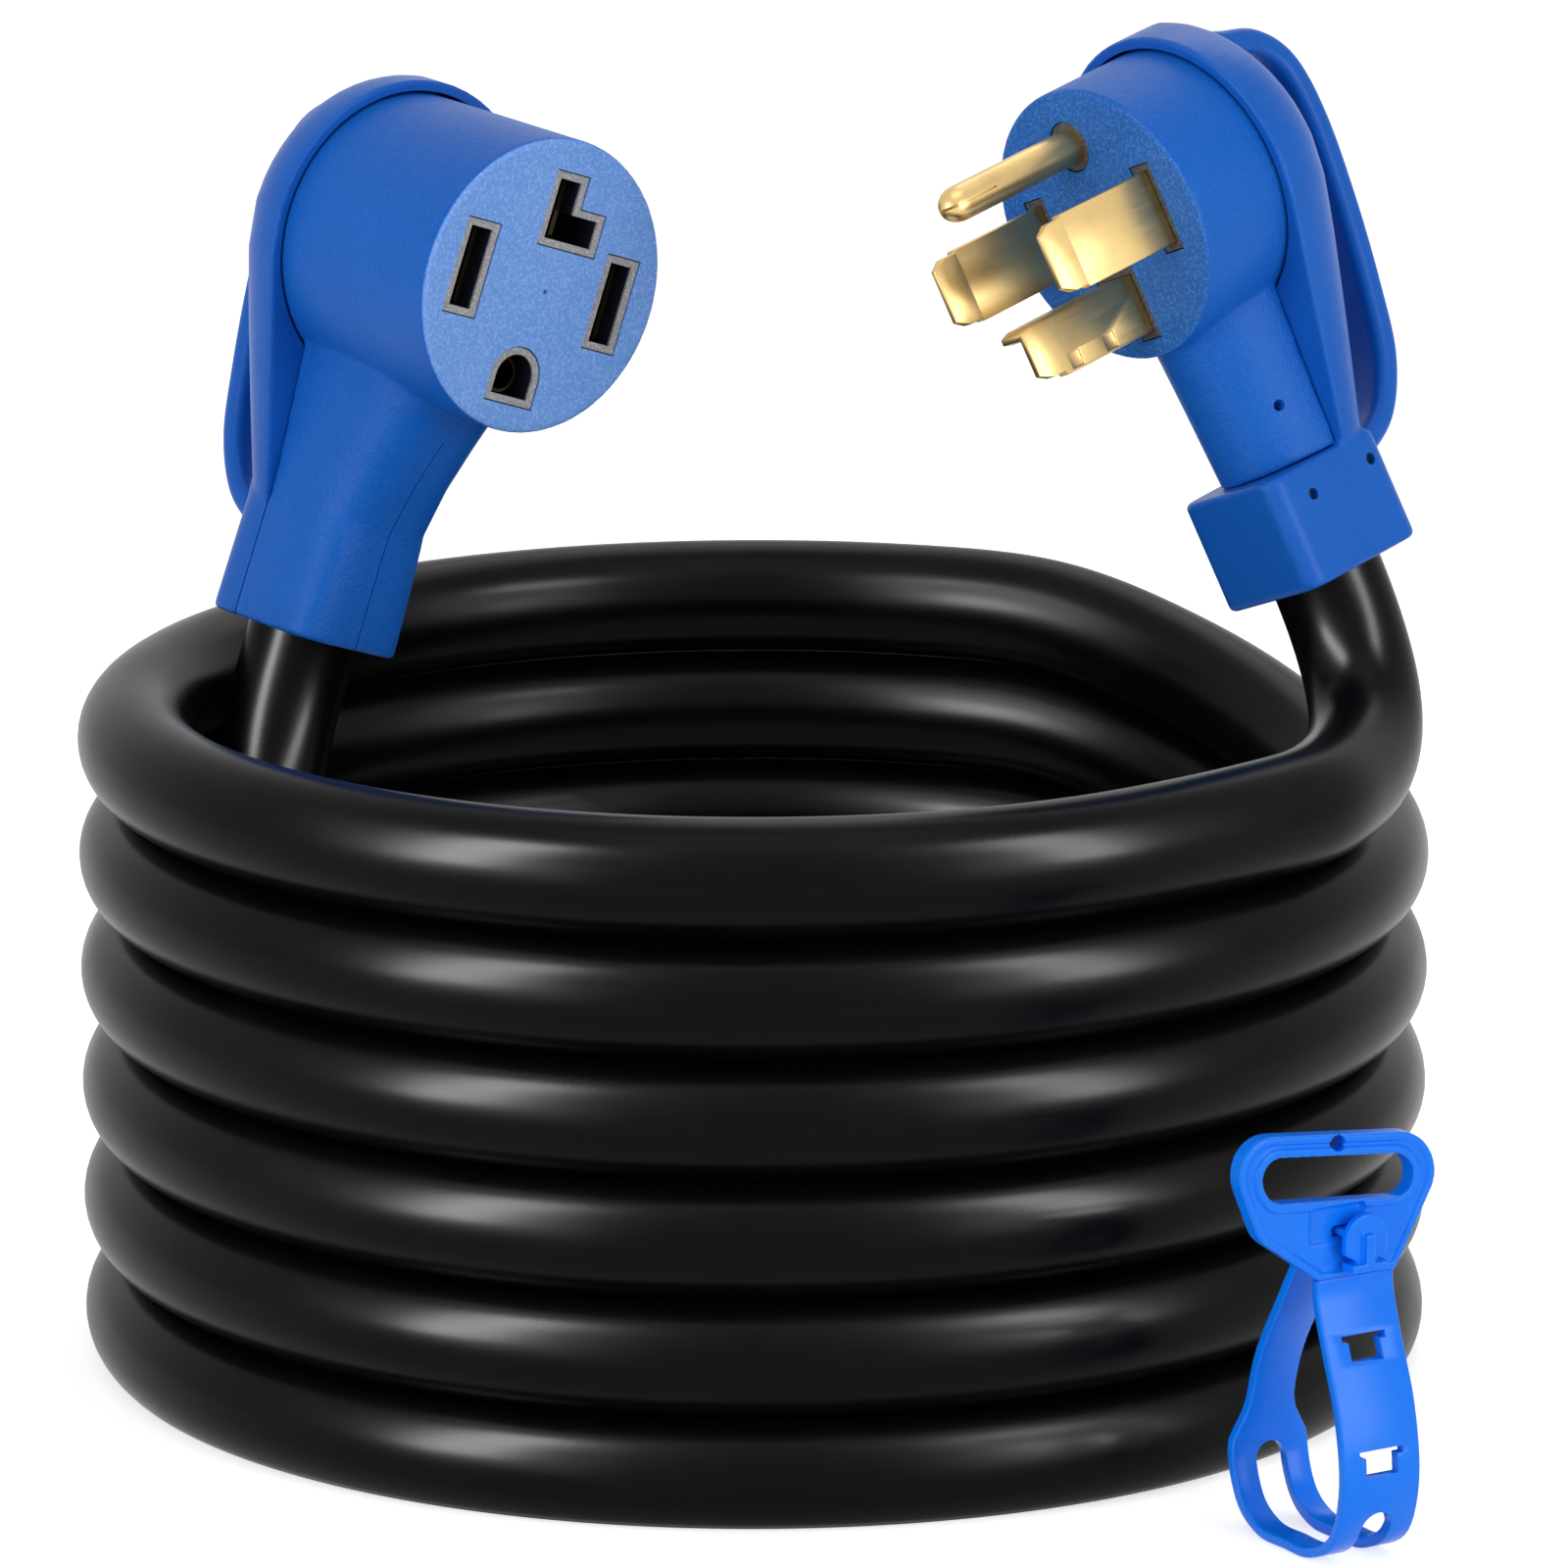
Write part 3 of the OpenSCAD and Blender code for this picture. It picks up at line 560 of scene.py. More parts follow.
# camera
cameraView = {"elevation": 13.5, "distance": 1800.0, "target": (5.0, 0.0, 95.5), "frameWidth": 261.0,
              "sensor": 36.0, "farthest": 50.0}
cameraData = bpy.data.cameras.new("camera")
cameraData.sensor_width = cameraView["sensor"]
cameraData.sensor_fit = "HORIZONTAL"
cameraData.lens = cameraView["sensor"] * cameraView["distance"] / cameraView["frameWidth"]
cameraData.clip_end = cameraView["farthest"]
camera = bpy.data.objects.new("camera", cameraData)
bpy.context.scene.collection.objects.link(camera)
rise = math.radians(cameraView["elevation"])
away = Vector((0, -math.cos(rise), math.sin(rise)))
camera.location = (Vector(cameraView["target"]) + cameraView["distance"] * away) * mm
camera.rotation_euler = (math.pi / 2 - rise, 0, 0)
bpy.context.scene.camera = camera

# cord
cordShape = {
    # the drops, from and to are degrees round the coil
    "diameter": 18.8, "tall": 1.03, "pitch": 19.5, "lowest": 7.44, "coilDiameter": 206.0, "loops": 6,
    "dropStart": 295.0, "dropSector": 60.0, "from": 45.0, "to": 2070.0, "ringStep": 15.0, "straight": 18.6,
    "butt": 5.0, "jacketIn": 14.5, "sides": 40, "step": 2.2, "curveSteps": 8, "relaxRounds": 12,
    "plugEnd": [(95, -42.5, 105), (98, -33.5, 105.5), (100, -26, 107), (101, -19, 110), (100.5, -13.5, 115.5),
                (98.5, -9, 122.5), (96, -7, 129.5)],
    "connectorEnd": [(57, 71, 7.5), (67, 52.5, 8), (76, 35.5, 8.5), (82, 14.5, 10.5), (82, -15, 14.5),
                     (71, -43, 18.5), (51.5, -65.5, 23), (25.5, -79, 28.5), (-4, -83, 35), (-33, -76.5, 42.5),
                     (-57.5, -60, 51), (-75, -36, 60.5), (-83, -7.5, 72), (-83.5, 4.5, 78.5),
                     (-82.5, 14.5, 87.5), (-80.5, 21.5, 99), (-77.5, 25.5, 110)],
}


def rampShare(t):
    # share of the drop from one loop to the next: it eases in, runs even, and eases out
    if t <= 0:
        return 0.0
    if t >= 1:
        return 1.0
    if t < 1 / 6:
        return 3.6 * t * t
    if t > 5 / 6:
        return 1 - 3.6 * (1 - t) ** 2
    return 0.1 + 1.2 * (t - 1 / 6)


def coilPoint(angle):
    # angle in degrees, counted on from loop to loop
    shape = cordShape
    drops = sum(rampShare((angle - shape["dropStart"] - 360 * n) / shape["dropSector"])
                for n in range(shape["loops"] - 1))
    radius = shape["coilDiameter"] / 2
    a = math.radians(angle)
    height = shape["lowest"] + shape["pitch"] * (shape["loops"] - 1 - drops)
    return Vector((radius * math.cos(a), -radius * math.sin(a), height))


def coilWay(angle):
    return (coilPoint(angle + 0.5) - coilPoint(angle - 0.5)).normalized()


def cordRoute():
    shape = cordShape
    first, last = shape["from"], shape["to"]
    start = coilPoint(first) - shape["straight"] * coilWay(first)
    end = coilPoint(last) + shape["straight"] * coilWay(last)
    plugMouth, plugUp = Vector(plugHead["mouth"]), Vector(plugHead["up"])
    mouth, up = Vector(connectorHead["mouth"]), Vector(connectorHead["up"])
    points = [plugMouth + shape["jacketIn"] * plugUp, plugMouth]
    points += [Vector(p) for p in reversed(shape["plugEnd"])]
    points += [start - shape["butt"] * coilWay(first), start]
    count = int((last - first) / shape["ringStep"])
    points += [coilPoint(first + shape["ringStep"] * i) for i in range(count + 1)]
    points += [end, end + shape["butt"] * coilWay(last)]
    points += [Vector(p) for p in shape["connectorEnd"]]
    points += [mouth, mouth + shape["jacketIn"] * up]
    return points


def evenly(points, step):
    # points an equal way apart along a line
    lengths = [0.0]
    for a, b in zip(points, points[1:]):
        lengths.append(lengths[-1] + (b - a).length)
    count = max(2, round(lengths[-1] / step))
    out, i = [], 0
    for k in range(count + 1):
        want = lengths[-1] * k / count
        while i < len(points) - 2 and lengths[i + 1] < want:
            i += 1
        share = (want - lengths[i]) / max(lengths[i + 1] - lengths[i], 1e-9)
        out.append(points[i].lerp(points[i + 1], min(max(share, 0), 1)))
    return out, lengths[-1]


def relaxed(points, rounds):
    # evens out small kinks and leaves the two ends where they are
    for _ in range(rounds):
        points = [points[0]] + [0.25 * points[i - 1] + 0.5 * points[i] + 0.25 * points[i + 1]
                                for i in range(1, len(points) - 1)] + [points[-1]]
    return points


def tubeAlong(points, radius, sides, floor, tall):
    # tall stretches the section upwards, and nothing goes below the floor
    rings, side = [], None
    for i, point in enumerate(points):
        way = (points[min(i + 1, len(points) - 1)] - points[max(i - 1, 0)]).normalized()
        side = Vector((0, 0, 1)).cross(way) if side is None else side - side.dot(way) * way
        side.normalize()
        over = way.cross(side)
        ring = []
        for k in range(sides):
            a = 2 * math.pi * k / sides
            corner = point + radius * (math.cos(a) * side + math.sin(a) * over)
            corner.z = max(point.z + tall * (corner.z - point.z), floor)
            ring.append(corner)
        rings.append(ring)
    return lofted(rings)


evenLine = evenly(throughPoints(cordRoute(), cordShape["curveSteps"]), cordShape["step"])[0]
cordLine, cordLength = evenly(relaxed(evenLine, cordShape["relaxRounds"]), cordShape["step"])
cordTube = tubeAlong(cordLine, cordShape["diameter"] / 2, cordShape["sides"], 0.0, cordShape["tall"])
powerCord = placed(joined("powerCord", [cordTube]), Matrix.Identity(4))
shade(powerCord, 60)
finishPiece(powerCord, jacketBlack, cordBody, "jacket_black", "cord_coil", "cord_plug_end", "cord_connector_end")
print("cord made,", round(cordLength / 1000, 3), "m long")


# shells of the two heads, in each head's own frame: +Z leaves the face, the neck runs along -Y
def roundEdgeProfile(radius, low, high, fillet, steps=6):
    profile = [(0, low), (radius, low), (radius, high - fillet)]
    for k in range(1, steps + 1):
        a = math.radians(90 * k / steps)
        profile.append((radius - fillet + fillet * math.cos(a), high - fillet + fillet * math.sin(a)))
    return profile + [(0, high)]


def alongNeck(sections):
    # sections are (y, outline points as (x, z))
    return lofted([[(x, y, z) for x, z in outline] for y, outline in sections])


def superHalf(halfWidth, depth, power, front, sign, steps=40):
    # half of a rounded section, from the seam to its front or back
    points = []
    for k in range(steps + 1):
        a = math.pi * k / steps
        c, s = math.cos(a), math.sin(a)
        points.append((halfWidth * math.copysign(abs(c) ** (2 / power), c), front + sign * depth * s ** (2 / power)))
    return points


neckShapes = {
    # y, half width, front reach beyond the seam, squareness
    "plugFront": [(4, 13.4, 17.4, 2.0), (-8, 13.2, 17.0, 2.0), (-20, 12.4, 16.2, 2.0), (-34, 11.5, 15.3, 2.05),
                  (-48.3, 10.8, 14.5, 2.1)],
    "connectorFront": [(4, 15.6, 35.0, 2.8), (-12, 15.0, 33.0, 2.8), (-22, 14.2, 29.0, 2.9), (-30, 13.4, 25.0, 3.0),
                       (-38, 12.7, 21.4, 3.1), (-46.5, 12.15, 18.6, 3.4), (-48.5, 12.25, 18.3, 3.7),
                       (-58, 12.4, 18.2, 4.2), (-67.3, 12.5, 18.2, 4.5), (-67.9, 12.2, 17.9, 4.5)],
    "connectorBack": [(-40, 12.6, 11.2, 2.8), (-48.5, 12.4, 9.2, 3.4), (-58, 12.4, 8.6, 4.2),
                      (-67.4, 12.5, 8.5, 4.5), (-68, 12.2, 8.2, 4.5)],
    # how deep the hood's back lies behind the seam, by y
    "hoodDepth": [(27.4, 6.5), (26.3, 9.0), (24, 11.6), (21, 13.6), (17, 15.3), (12, 16.7), (6, 17.6), (0, 18.0),
                  (-8, 17.6), (-16, 16.4), (-24, 14.8), (-36, 12.2), (-48.5, 9.2)],
}
handleShape = {
    "line": [(-16, 19.8), (-20.5, 18.3), (-27, 16.2), (-31.6, 10.5), (-32.8, 0), (-31.4, -15), (-29, -29),
             (-26.2, -40), (-20.6, -48.2), (-13, -52.0), (-9, -53)],
    "width": 13.0, "thick": 4.4, "corner": 1.7,
}


def handleSolid():
    line = throughPoints([(0, y, z) for z, y in handleShape["line"]], 6)
    outline = roundedBox(handleShape["thick"], handleShape["width"], handleShape["corner"], 5)
    rings = []
    for i, point in enumerate(line):
        way = (line[min(i + 1, len(line) - 1)] - line[max(i - 1, 0)]).normalized()
        out = way.cross(Vector((1, 0, 0)))
        rings.append([point + a * out + Vector((b, 0, 0)) for a, b in outline])
    return lofted(rings)


def sleeveSolid():
    shape = headShape
    middle = shape["sleeveFront"] - shape["sleeveDepth"] / 2
    outline = roundedBox(shape["sleeveWidth"], shape["sleeveDepth"], shape["sleeveCorner"])
    rows = [(-shape["neckLength"], 0.965), (-shape["neckLength"] - 0.6, 1.0), (-mouthDrop + 0.7, 1.0),
            (-mouthDrop, 0.97)]
    return lofted([[(share * x, y, middle + share * z) for x, z in outline] for y, share in rows])


hoodShape = {"endHalfWidth": 12.4, "touch": 0.98, "turns": range(4, 88, 6), "straightRows": 8, "squareness": 2.5,
             "hollowDeep": 15.4, "hollowStep": 3.4, "hollowRound": 1.1, "hollowTop": 40.0, "hollowRows": 12}


def hoodSolid(radius):
    # a drop-shaped hood: round at the top, drawn straight down to the sleeve
    endWidth, endY = hoodShape["endHalfWidth"], -headShape["neckLength"]
    # where a straight side from the sleeve touches the round
    lean = math.atan2(radius - endWidth, -endY)
    touchY = -radius * math.sin(lean) * hoodShape["touch"]
    touchWidth = math.sqrt(radius ** 2 - touchY ** 2)
    heights = [radius * math.cos(math.radians(a)) for a in hoodShape["turns"]] + [0, touchY]
    count = hoodShape["straightRows"]
    heights += [touchY + (endY - touchY) * k / count for k in range(1, count + 1)]
    rings = []
    for y in heights:
        if y >= touchY:
            width = math.sqrt(max(radius ** 2 - y * y, 0.04))
        else:
            width = touchWidth + (endWidth - touchWidth) * (touchY - y) / (touchY - endY)
        depth = between(neckShapes["hoodDepth"], y)
        rings.append((y, superHalf(width, depth, hoodShape["squareness"], headShape["seam"], -1)))
    return alongNeck(rings)


def between(rows, y):
    # value at y from rows of (y, value) with falling y
    if y >= rows[0][0]:
        return rows[0][1]
    for (high, first), (low, second) in zip(rows, rows[1:]):
        if y >= low:
            share = (high - y) / (high - low)
            return first + (second - first) * share
    return rows[-1][1]


grooveShape = {"from": -25.0, "half": 0.1, "deep": 0.25, "past": 3.0}


def partingLine(neckRows):
    # a hair-thin groove down the middle of the neck's front
    groove = grooveShape
    rows = [(y, headShape["seam"] + depth) for y, _, depth, _ in neckRows if y < groove["from"]]
    rows.append((rows[-1][0] - 1, rows[-1][1]))
    half, deep, past = groove["half"], groove["deep"], groove["past"]
    return lofted([[(-half, y, z - deep), (half, y, z - deep), (half, y, z + past), (-half, y, z + past)]
                   for y, z in rows])


def cordWay(boreLength):
    # the way for the conductors down the neck, and the wider mouth that takes the jacket
    shape = headShape
    radius = cordShape["diameter"] / 2 + shape["mouthGap"]
    return [moved(rod(shape["neckBore"], 0, boreLength), quarterX),
            moved(rod(radius, shape["neckLength"] + shape["mouthDeep"], mouthDrop + 2), quarterX)]


def frontShell(name, head, neckRows, holes, flared):
    shape = headShape
    low = shape["seam"] - shape["lap"]
    barrel = turned(roundEdgeProfile(head["radius"], low, head["reach"], shape["faceEdge"]))
    neck = alongNeck([(y, superHalf(w, d, p, shape["seam"] + shape["overlap"], 1)) for y, w, d, p in neckRows])
    obj = blended(name, [barrel, neck], shape["voxel"], shape["smoothSteps"])
    cavity = rod(head["radius"] - shape["wall"], low - 2, head["reach"] - shape["faceWall"], 96)
    bore, mouth = cordWay(shape["frontBore"])
    own = [mouth, partingLine(neckRows)] if flared else pinHoles(neckPins)
    return cut(obj, [cavity, bore] + own + holes)


def backShell(name, head, flared):
    shape = headShape
    if flared:
        end = alongNeck([(y, superHalf(w, d, p, shape["seam"] - shape["overlap"], -1))
                         for y, w, d, p in neckShapes["connectorBack"]])
    else:
        end = sleeveSolid()
    obj = blended(name, [hoodSolid(head["radius"] + shape["wall"]), end, handleSolid()], shape["voxel"],
                  shape["smoothSteps"])
    # the hollow that the front body sits in, with a domed floor
    inside = head["radius"] + shape["handGap"]
    low = shape["seam"] - shape["lap"] - shape["handGap"]
    floor, count = shape["seam"] - hoodShape["hollowDeep"], hoodShape["hollowRows"]
    hollow = [(0, hoodShape["hollowTop"]), (inside, hoodShape["hollowTop"]), (inside, low)]
    for k in range(1, count + 1):
        a = math.radians(90 * k / count)
        hollow.append(((inside - hoodShape["hollowStep"]) * math.cos(a) ** hoodShape["hollowRound"],
                       low + (floor - low) * math.sin(a)))
    hollow[-1] = (0, floor)
    pins = [] if flared else pinHoles(coverPins)
    return cut(obj, [turned(hollow)] + cordWay(shape["neckLength"] + shape["mouthDeep"]) + pins)


# small press-in pins on the plug's right side
coverPins = {"places": [(11.9, -53.8, 6.0), (11.9, -53.2, -8.3)], "radius": 1.0, "deep": 3.0}
neckPins = {"places": [(10.3, -38.5, 3.5)], "radius": 0.95, "deep": 2.5}
pinHeadProfile = [(0, -2.6), (0.9, -2.6), (0.9, -1.3), (0.35, -1.3), (0, -1.7)]


def pinHoles(pins):
    return [moved(rod(pins["radius"], -pins["deep"], 2, 24), Matrix.Translation(place) @ quarterY)
            for place in pins["places"]]


holeGrow = headShape["rim"] + headShape["fit"]
bladeShape = {"hotX": 14.1, "width": 12.6, "thick": 2.2, "length": 25.4, "groundRadius": 3.0, "groundLength": 29.8,
              "poleY": 14.0, "leg": 10.0, "foot": 7.2, "back": 0.9, "tipRun": 2.4, "shoulderIn": 0.45, "tipIn": 1.7,
              "tipThin": 0.45, "edge": 0.2, "notches": (0.36, 0.68), "notchHalf": 1.3, "notchDeep": 0.35}
# what the bent blade loses at its shoulder and its tip: leg, foot, thickness, and its way towards the middle
bentSteps = {"shoulder": (0.8, 0.4, 0.0, 0.4), "tip": (2.4, 1.6, 1.1, 0.65)}
pinShape = {"dome": 1.25, "fullness": 0.9, "seamHalf": 0.14, "seamDeep": 0.5, "seamLong": 10.0, "splitHalf": 0.22,
            "splitLong": 1.5}
slotShape = {"hotX": 15.7, "width": 4.7, "length": 13.6, "neutralY": 13.0, "leg": 10.2, "foot": 10.4,
             "groundY": -15.9, "groundRadius": 4.0, "groundFlat": 0.8, "gatePlace": (1.0, -0.8, 0.0)}


def bentOutline(leg, foot, thick, centreY, grow, footUp):
    # an L-shaped opening or blade, with its foot at the top or the bottom of its leg
    t, half = thick + 2 * grow, leg / 2 + grow
    if footUp:
        return [(-t / 2 - (foot - thick), centreY + half), (-t / 2 - (foot - thick), centreY + half - t),
                (-t / 2, centreY + half - t), (-t / 2, centreY - half), (t / 2, centreY - half),
                (t / 2, centreY + half)]
    right = -t / 2 + foot + 2 * grow
    return [(-t / 2, centreY - half), (right, centreY - half), (right, centreY - half + t),
            (t / 2, centreY - half + t), (t / 2, centreY + half), (-t / 2, centreY + half)]


def cutRange(head):
    # from just inside the face's wall to just outside the face
    return head["reach"] - headShape["faceWall"] - 1, head["reach"] + 1


def hotHoles(hotX, thick, tall, low, high):
    halfX, halfY = thick / 2 + holeGrow, tall / 2 + holeGrow
    return [box(side * hotX - halfX, side * hotX + halfX, -halfY, halfY, low, high) for side in (-1, 1)]


def plugHoles():
    b = bladeShape
    low, high = cutRange(plugHead)
    neutral = prism(bentOutline(b["leg"], b["foot"], b["thick"], -b["poleY"], holeGrow, True), low, high)
    ground = moved(rod(b["groundRadius"] + holeGrow, low, high), Matrix.Translation((0, b["poleY"], 0)))
    return hotHoles(b["hotX"], b["thick"], b["width"], low, high) + [neutral, ground]


def groundOutline(grow):
    # a half round with a straight foot
    s = slotShape
    radius = s["groundRadius"] + grow
    flat = s["groundY"] - s["groundRadius"] * s["groundFlat"] - grow
    points = [(radius, flat)]
    for k in range(33):
        a = math.pi * k / 32
        points.append((radius * math.cos(a), s["groundY"] + radius * math.sin(a)))
    return points + [(-radius, flat)]


def connectorHoles():
    s, top = slotShape, connectorHead["reach"]
    low, high = cutRange(connectorHead)
    neutral = prism(bentOutline(s["leg"], s["foot"], s["width"], s["neutralY"], holeGrow, False), low, high)
    ground = prism(groundOutline(holeGrow), low, high)
    # the small mark where the plastic went in
    gate = moved(turned([(0, top - 0.4), (0.4, top - 0.4), (0.5, high), (0, high)], 24),
                 Matrix.Translation(s["gatePlace"]))
    return hotHoles(s["hotX"], s["width"], s["length"], low, high) + [neutral, ground, gate]


def dressHead(prefix, head, neckRows, holes, flared):
    front = placed(shade(frontShell(prefix + "FrontShell", head, neckRows, holes, flared), 50), head["matrix"])
    finishPiece(front, headPlastic(prefix, head), cordBody, "body_blue", prefix + "_front_body")
    back = placed(shade(backShell(prefix + "RearShell", head, flared), 50), head["matrix"])
    finishPiece(back, plastics["cover"], cordBody, "cover_blue", prefix + "_rear_cover")
    print(prefix, "shells made")


dressHead("plug", plugHead, neckShapes["plugFront"], plugHoles(), False)
dressHead("connector", connectorHead, neckShapes["connectorFront"], connectorHoles(), True)


# blades
def taperedBlade(outline, shoulder, tip, low, high):
    # a small shoulder, then a tip that thins out on all sides
    run = bladeShape["tipRun"]
    return lofted([[(x, y, z) for x, y in ring] for ring, z in (
        (outline, low), (outline, high - 2.2 * run), (shoulder, high - 2.1 * run), (shoulder, high - run),
        (tip, high))])


def flatOutline(x, halfThick, halfWide):
    return [(x - halfThick, -halfWide), (x + halfThick, -halfWide), (x + halfThick, halfWide),
            (x - halfThick, halfWide)]


def bentBladeOutline(lessLeg, lessFoot, lessThick, inwards):
    b = bladeShape
    return bentOutline(b["leg"] - lessLeg, b["foot"] - lessFoot, b["thick"] - lessThick, -b["poleY"] + inwards, 0, True)


def finishBlade(blade, angle, node):
    placed(shade(blade, angle), plugHead["matrix"])
    finishPiece(blade, plugBrass, cordBody, "contact_brass", node)


def makeBlades():
    b, reach = bladeShape, plugHead["reach"]
    low, high = reach - b["back"] - 3, reach + b["length"]
    wide, thick = b["width"] / 2, b["thick"] / 2
    for side, name in ((-1, "Left"), (1, "Right")):
        x = side * b["hotX"]
        solid = taperedBlade(flatOutline(x, thick, wide), flatOutline(x, thick, wide - b["shoulderIn"]),
                             flatOutline(x, b["tipThin"] * thick, wide - b["tipIn"]), low, high)
        finishBlade(rounded(joined("hotBlade" + name, [solid]), b["edge"], 3, 15), 30,
                    "plug_hot_blade_" + name.lower())
    solid = taperedBlade(bentBladeOutline(0, 0, 0, 0), bentBladeOutline(*bentSteps["shoulder"]),
                         bentBladeOutline(*bentSteps["tip"]), low, high)
    blade = joined("neutralBlade", [solid])
    # two shallow notches in the leg's outer edge
    edge, half = -b["poleY"] - b["leg"] / 2, b["notchHalf"]
    cut(blade, [box(thick - b["notchDeep"], thick + 1, edge + 0.5, edge + 3.1, reach + k * b["length"] - half,
                    reach + k * b["length"] + half) for k in b["notches"]])
    finishBlade(rounded(blade, 0.8 * b["edge"], 2, 25), 30, "plug_neutral_blade")
    print("flat blades made")


def makeGroundPin():
    b, p = bladeShape, pinShape
    radius, y = b["groundRadius"], b["poleY"]
    low, top = plugHead["reach"] - b["back"] - 3, plugHead["reach"] + b["groundLength"]
    profile = [(0, low), (radius, low)]
    for a in range(0, 90, 9):
        turn = math.radians(a)
        profile.append((radius * math.cos(turn) ** p["fullness"], top - radius * p["dome"] * (1 - math.sin(turn))))
    pin = joined("groundPin", [moved(turned(profile + [(0, top)], 64), Matrix.Translation((0, y, 0)))])
    # the pin is rolled from sheet, so a seam runs down it and opens at the tip
    cut(pin, [box(radius - p["seamDeep"], radius + 1, y - p["seamHalf"], y + p["seamHalf"], top - p["seamLong"],
                  top + 1),
              box(-0.4, radius + 1, y - p["splitHalf"], y + p["splitHalf"], top - p["splitLong"], top + 1)])
    finishBlade(pin, 40, "plug_ground_pin")
    print("ground pin made")


def makePinHeads():
    # partly real pin heads and partly painted shade: near-black heads down in the holes make the holes read dark
    heads = [moved(turned(pinHeadProfile, 24), Matrix.Translation(place) @ quarterY) for place in coverPins["places"]]
    pinHeads = placed(shade(joined("plugPinHeads", heads), 40), plugHead["matrix"])
    finishPiece(pinHeads, plastics["seal"], cordBody, "screw_steel")


makeBlades()
makeGroundPin()
makePinHeads()

# strap
strapShape = {
    "bandLine": [(0, 45.9), (-0.4, 42), (-2.8, 35), (-6.5, 25), (-8, 14), (-5.5, 5), (1, 1.2), (8, 0.9),
                 (15, 1.2), (20.5, 5), (23, 14), (20.5, 27), (14, 39), (8.5, 48.5), (5.8, 52.6), (3.4, 53.5)],
    "width": 14.5, "thick": 1.8, "teeTops": (37.0, 19.5), "teeWidth": 8.3, "teeHeight": 4.2, "teeBar": 1.1,
    "stem": 6.0, "bendSlot": 5.8, "frontSlotTop": 9.0, "backSlotTop": 13.0, "bandEdge": 0.35,
    "gripWidth": 37.0, "gripHeight": 24.0, "gripThick": 3.2, "gripLow": 46.0, "gripShift": -4.0,
    "openHeight": 7.2, "openTop": 4.4, "openSide": 4.2, "slitWidth": 9.0, "slitHalf": 0.8, "slitZ": 53.5,
    "hangTop": 2.4, "hangRadius": 1.3, "fieldDeep": 0.45, "recessDeep": 0.9, "beadWide": 1.3,
    # each corner of the plate: in from its side, up from its foot, radius
    "gripCorners": [(6.5, 16.5, 6.5), (8.0, 11.5, 5.5)],
    # left, right, below and above the slit
    "recess": (-9.0, 1.0, 1.4, 4.4),
    "sag": 0.11, "sagFrom": 50.0, "sagRun": 10.0, "voxel": 0.24, "smoothSteps": 4,
    # by height with its sign turned: the share of the width left on the far side of the band
    "narrowing": [(-12.5, 1.0), (-14.5, 0.95), (-17.0, 0.72), (-19.0, 0.60), (-21.0, 0.56), (-60.0, 0.56)],
}


def ribbonSolid(line, width, thick, corner):
    outline = roundedBox(thick, width, corner, 3)
    rings = []
    for i, point in enumerate(line):
        way = (line[min(i + 1, len(line) - 1)] - line[max(i - 1, 0)]).normalized()
        out = way.cross(Vector((1, 0, 0)))
        # the far side narrows towards the hook
        share = between(strapShape["narrowing"], -point.z) if i > len(line) // 2 else 1.0
        rings.append([point + a * out + Vector((b * share, 0, 0)) for a, b in outline])
    return lofted(rings)


def sagged(outline):
    # the plate hangs a little lower at its right end
    s = strapShape
    return [(x, z - s["sag"] * x * min(max((z - s["sagFrom"]) / s["sagRun"], 0), 1)) for x, z in outline]


def hullOutline(circles, corners, steps=24):
    # convex outline round circles and corner points, by sorting on the turn
    points = list(corners)
    for x, y, radius in circles:
        for k in range(steps * 2):
            a = math.pi * k / steps
            points.append((x + radius * math.cos(a), y + radius * math.sin(a)))
    points = sorted(set((round(x, 4), round(y, 4)) for x, y in points))

    def half(order):
        chain = []
        for p in order:
            while len(chain) > 1 and ((chain[-1][0] - chain[-2][0]) * (p[1] - chain[-2][1])
                                      - (chain[-1][1] - chain[-2][1]) * (p[0] - chain[-2][0])) <= 0:
                chain.pop()
            chain.append(p)
        return chain[:-1]

    return half(points) + half(reversed(points))


def makeBand():
    s = strapShape
    line = throughPoints([(0, y, z) for y, z in s["bandLine"]], 6)
    band = joined("strapBand", [ribbonSolid(line, s["width"], s["thick"], s["bandEdge"])])
    half, stem, cuts = s["teeWidth"] / 2, s["stem"] / 2, []
    for top in s["teeTops"]:
        bar, foot = top - s["teeBar"], top - s["teeHeight"]
        outline = [(-half, top), (-half, bar), (-stem, bar), (-stem, foot), (stem, foot), (stem, bar), (half, bar),
                   (half, top)]
        cuts.append(upright(outline, -2, 20))
    # round-topped slots where the band turns under
    radius = s["bendSlot"] / 2
    for top, low, high in ((s["frontSlotTop"], -9.5, 20), (s["backSlotTop"], -40, -9)):
        cuts.append(upright(hullOutline([(0, top - radius, radius)], [(-radius, -3), (radius, -3)]), low, high))
    cut(band, cuts)
    placed(shade(rounded(band, 0.18, 2, 40), 35), strapMatrix)
    finishPiece(band, plastics["strap"], strapBody, "strap_blue", "strap_band")


def gripOutline(inset, footIn, footUp):
    # the plate's outline, drawn in by inset
    s = strapShape
    circles = [(s["gripShift"] + side * (s["gripWidth"] / 2 - across), s["gripLow"] + up, radius - inset)
               for side in (-1, 1) for across, up, radius in s["gripCorners"]]
    foot, low = s["width"] / 2 - footIn, s["gripLow"] + footUp
    return sagged(hullOutline(circles, [(-foot, low), (foot, low)]))


def openingOutline(grow):
    s = strapShape
    end = s["openHeight"] / 2
    reach = s["gripWidth"] / 2 - s["openSide"] - end
    height = s["gripLow"] + s["gripHeight"] - s["openTop"] - end
    return sagged(hullOutline([(s["gripShift"] + side * reach, height, end + grow) for side in (-1, 1)], []))


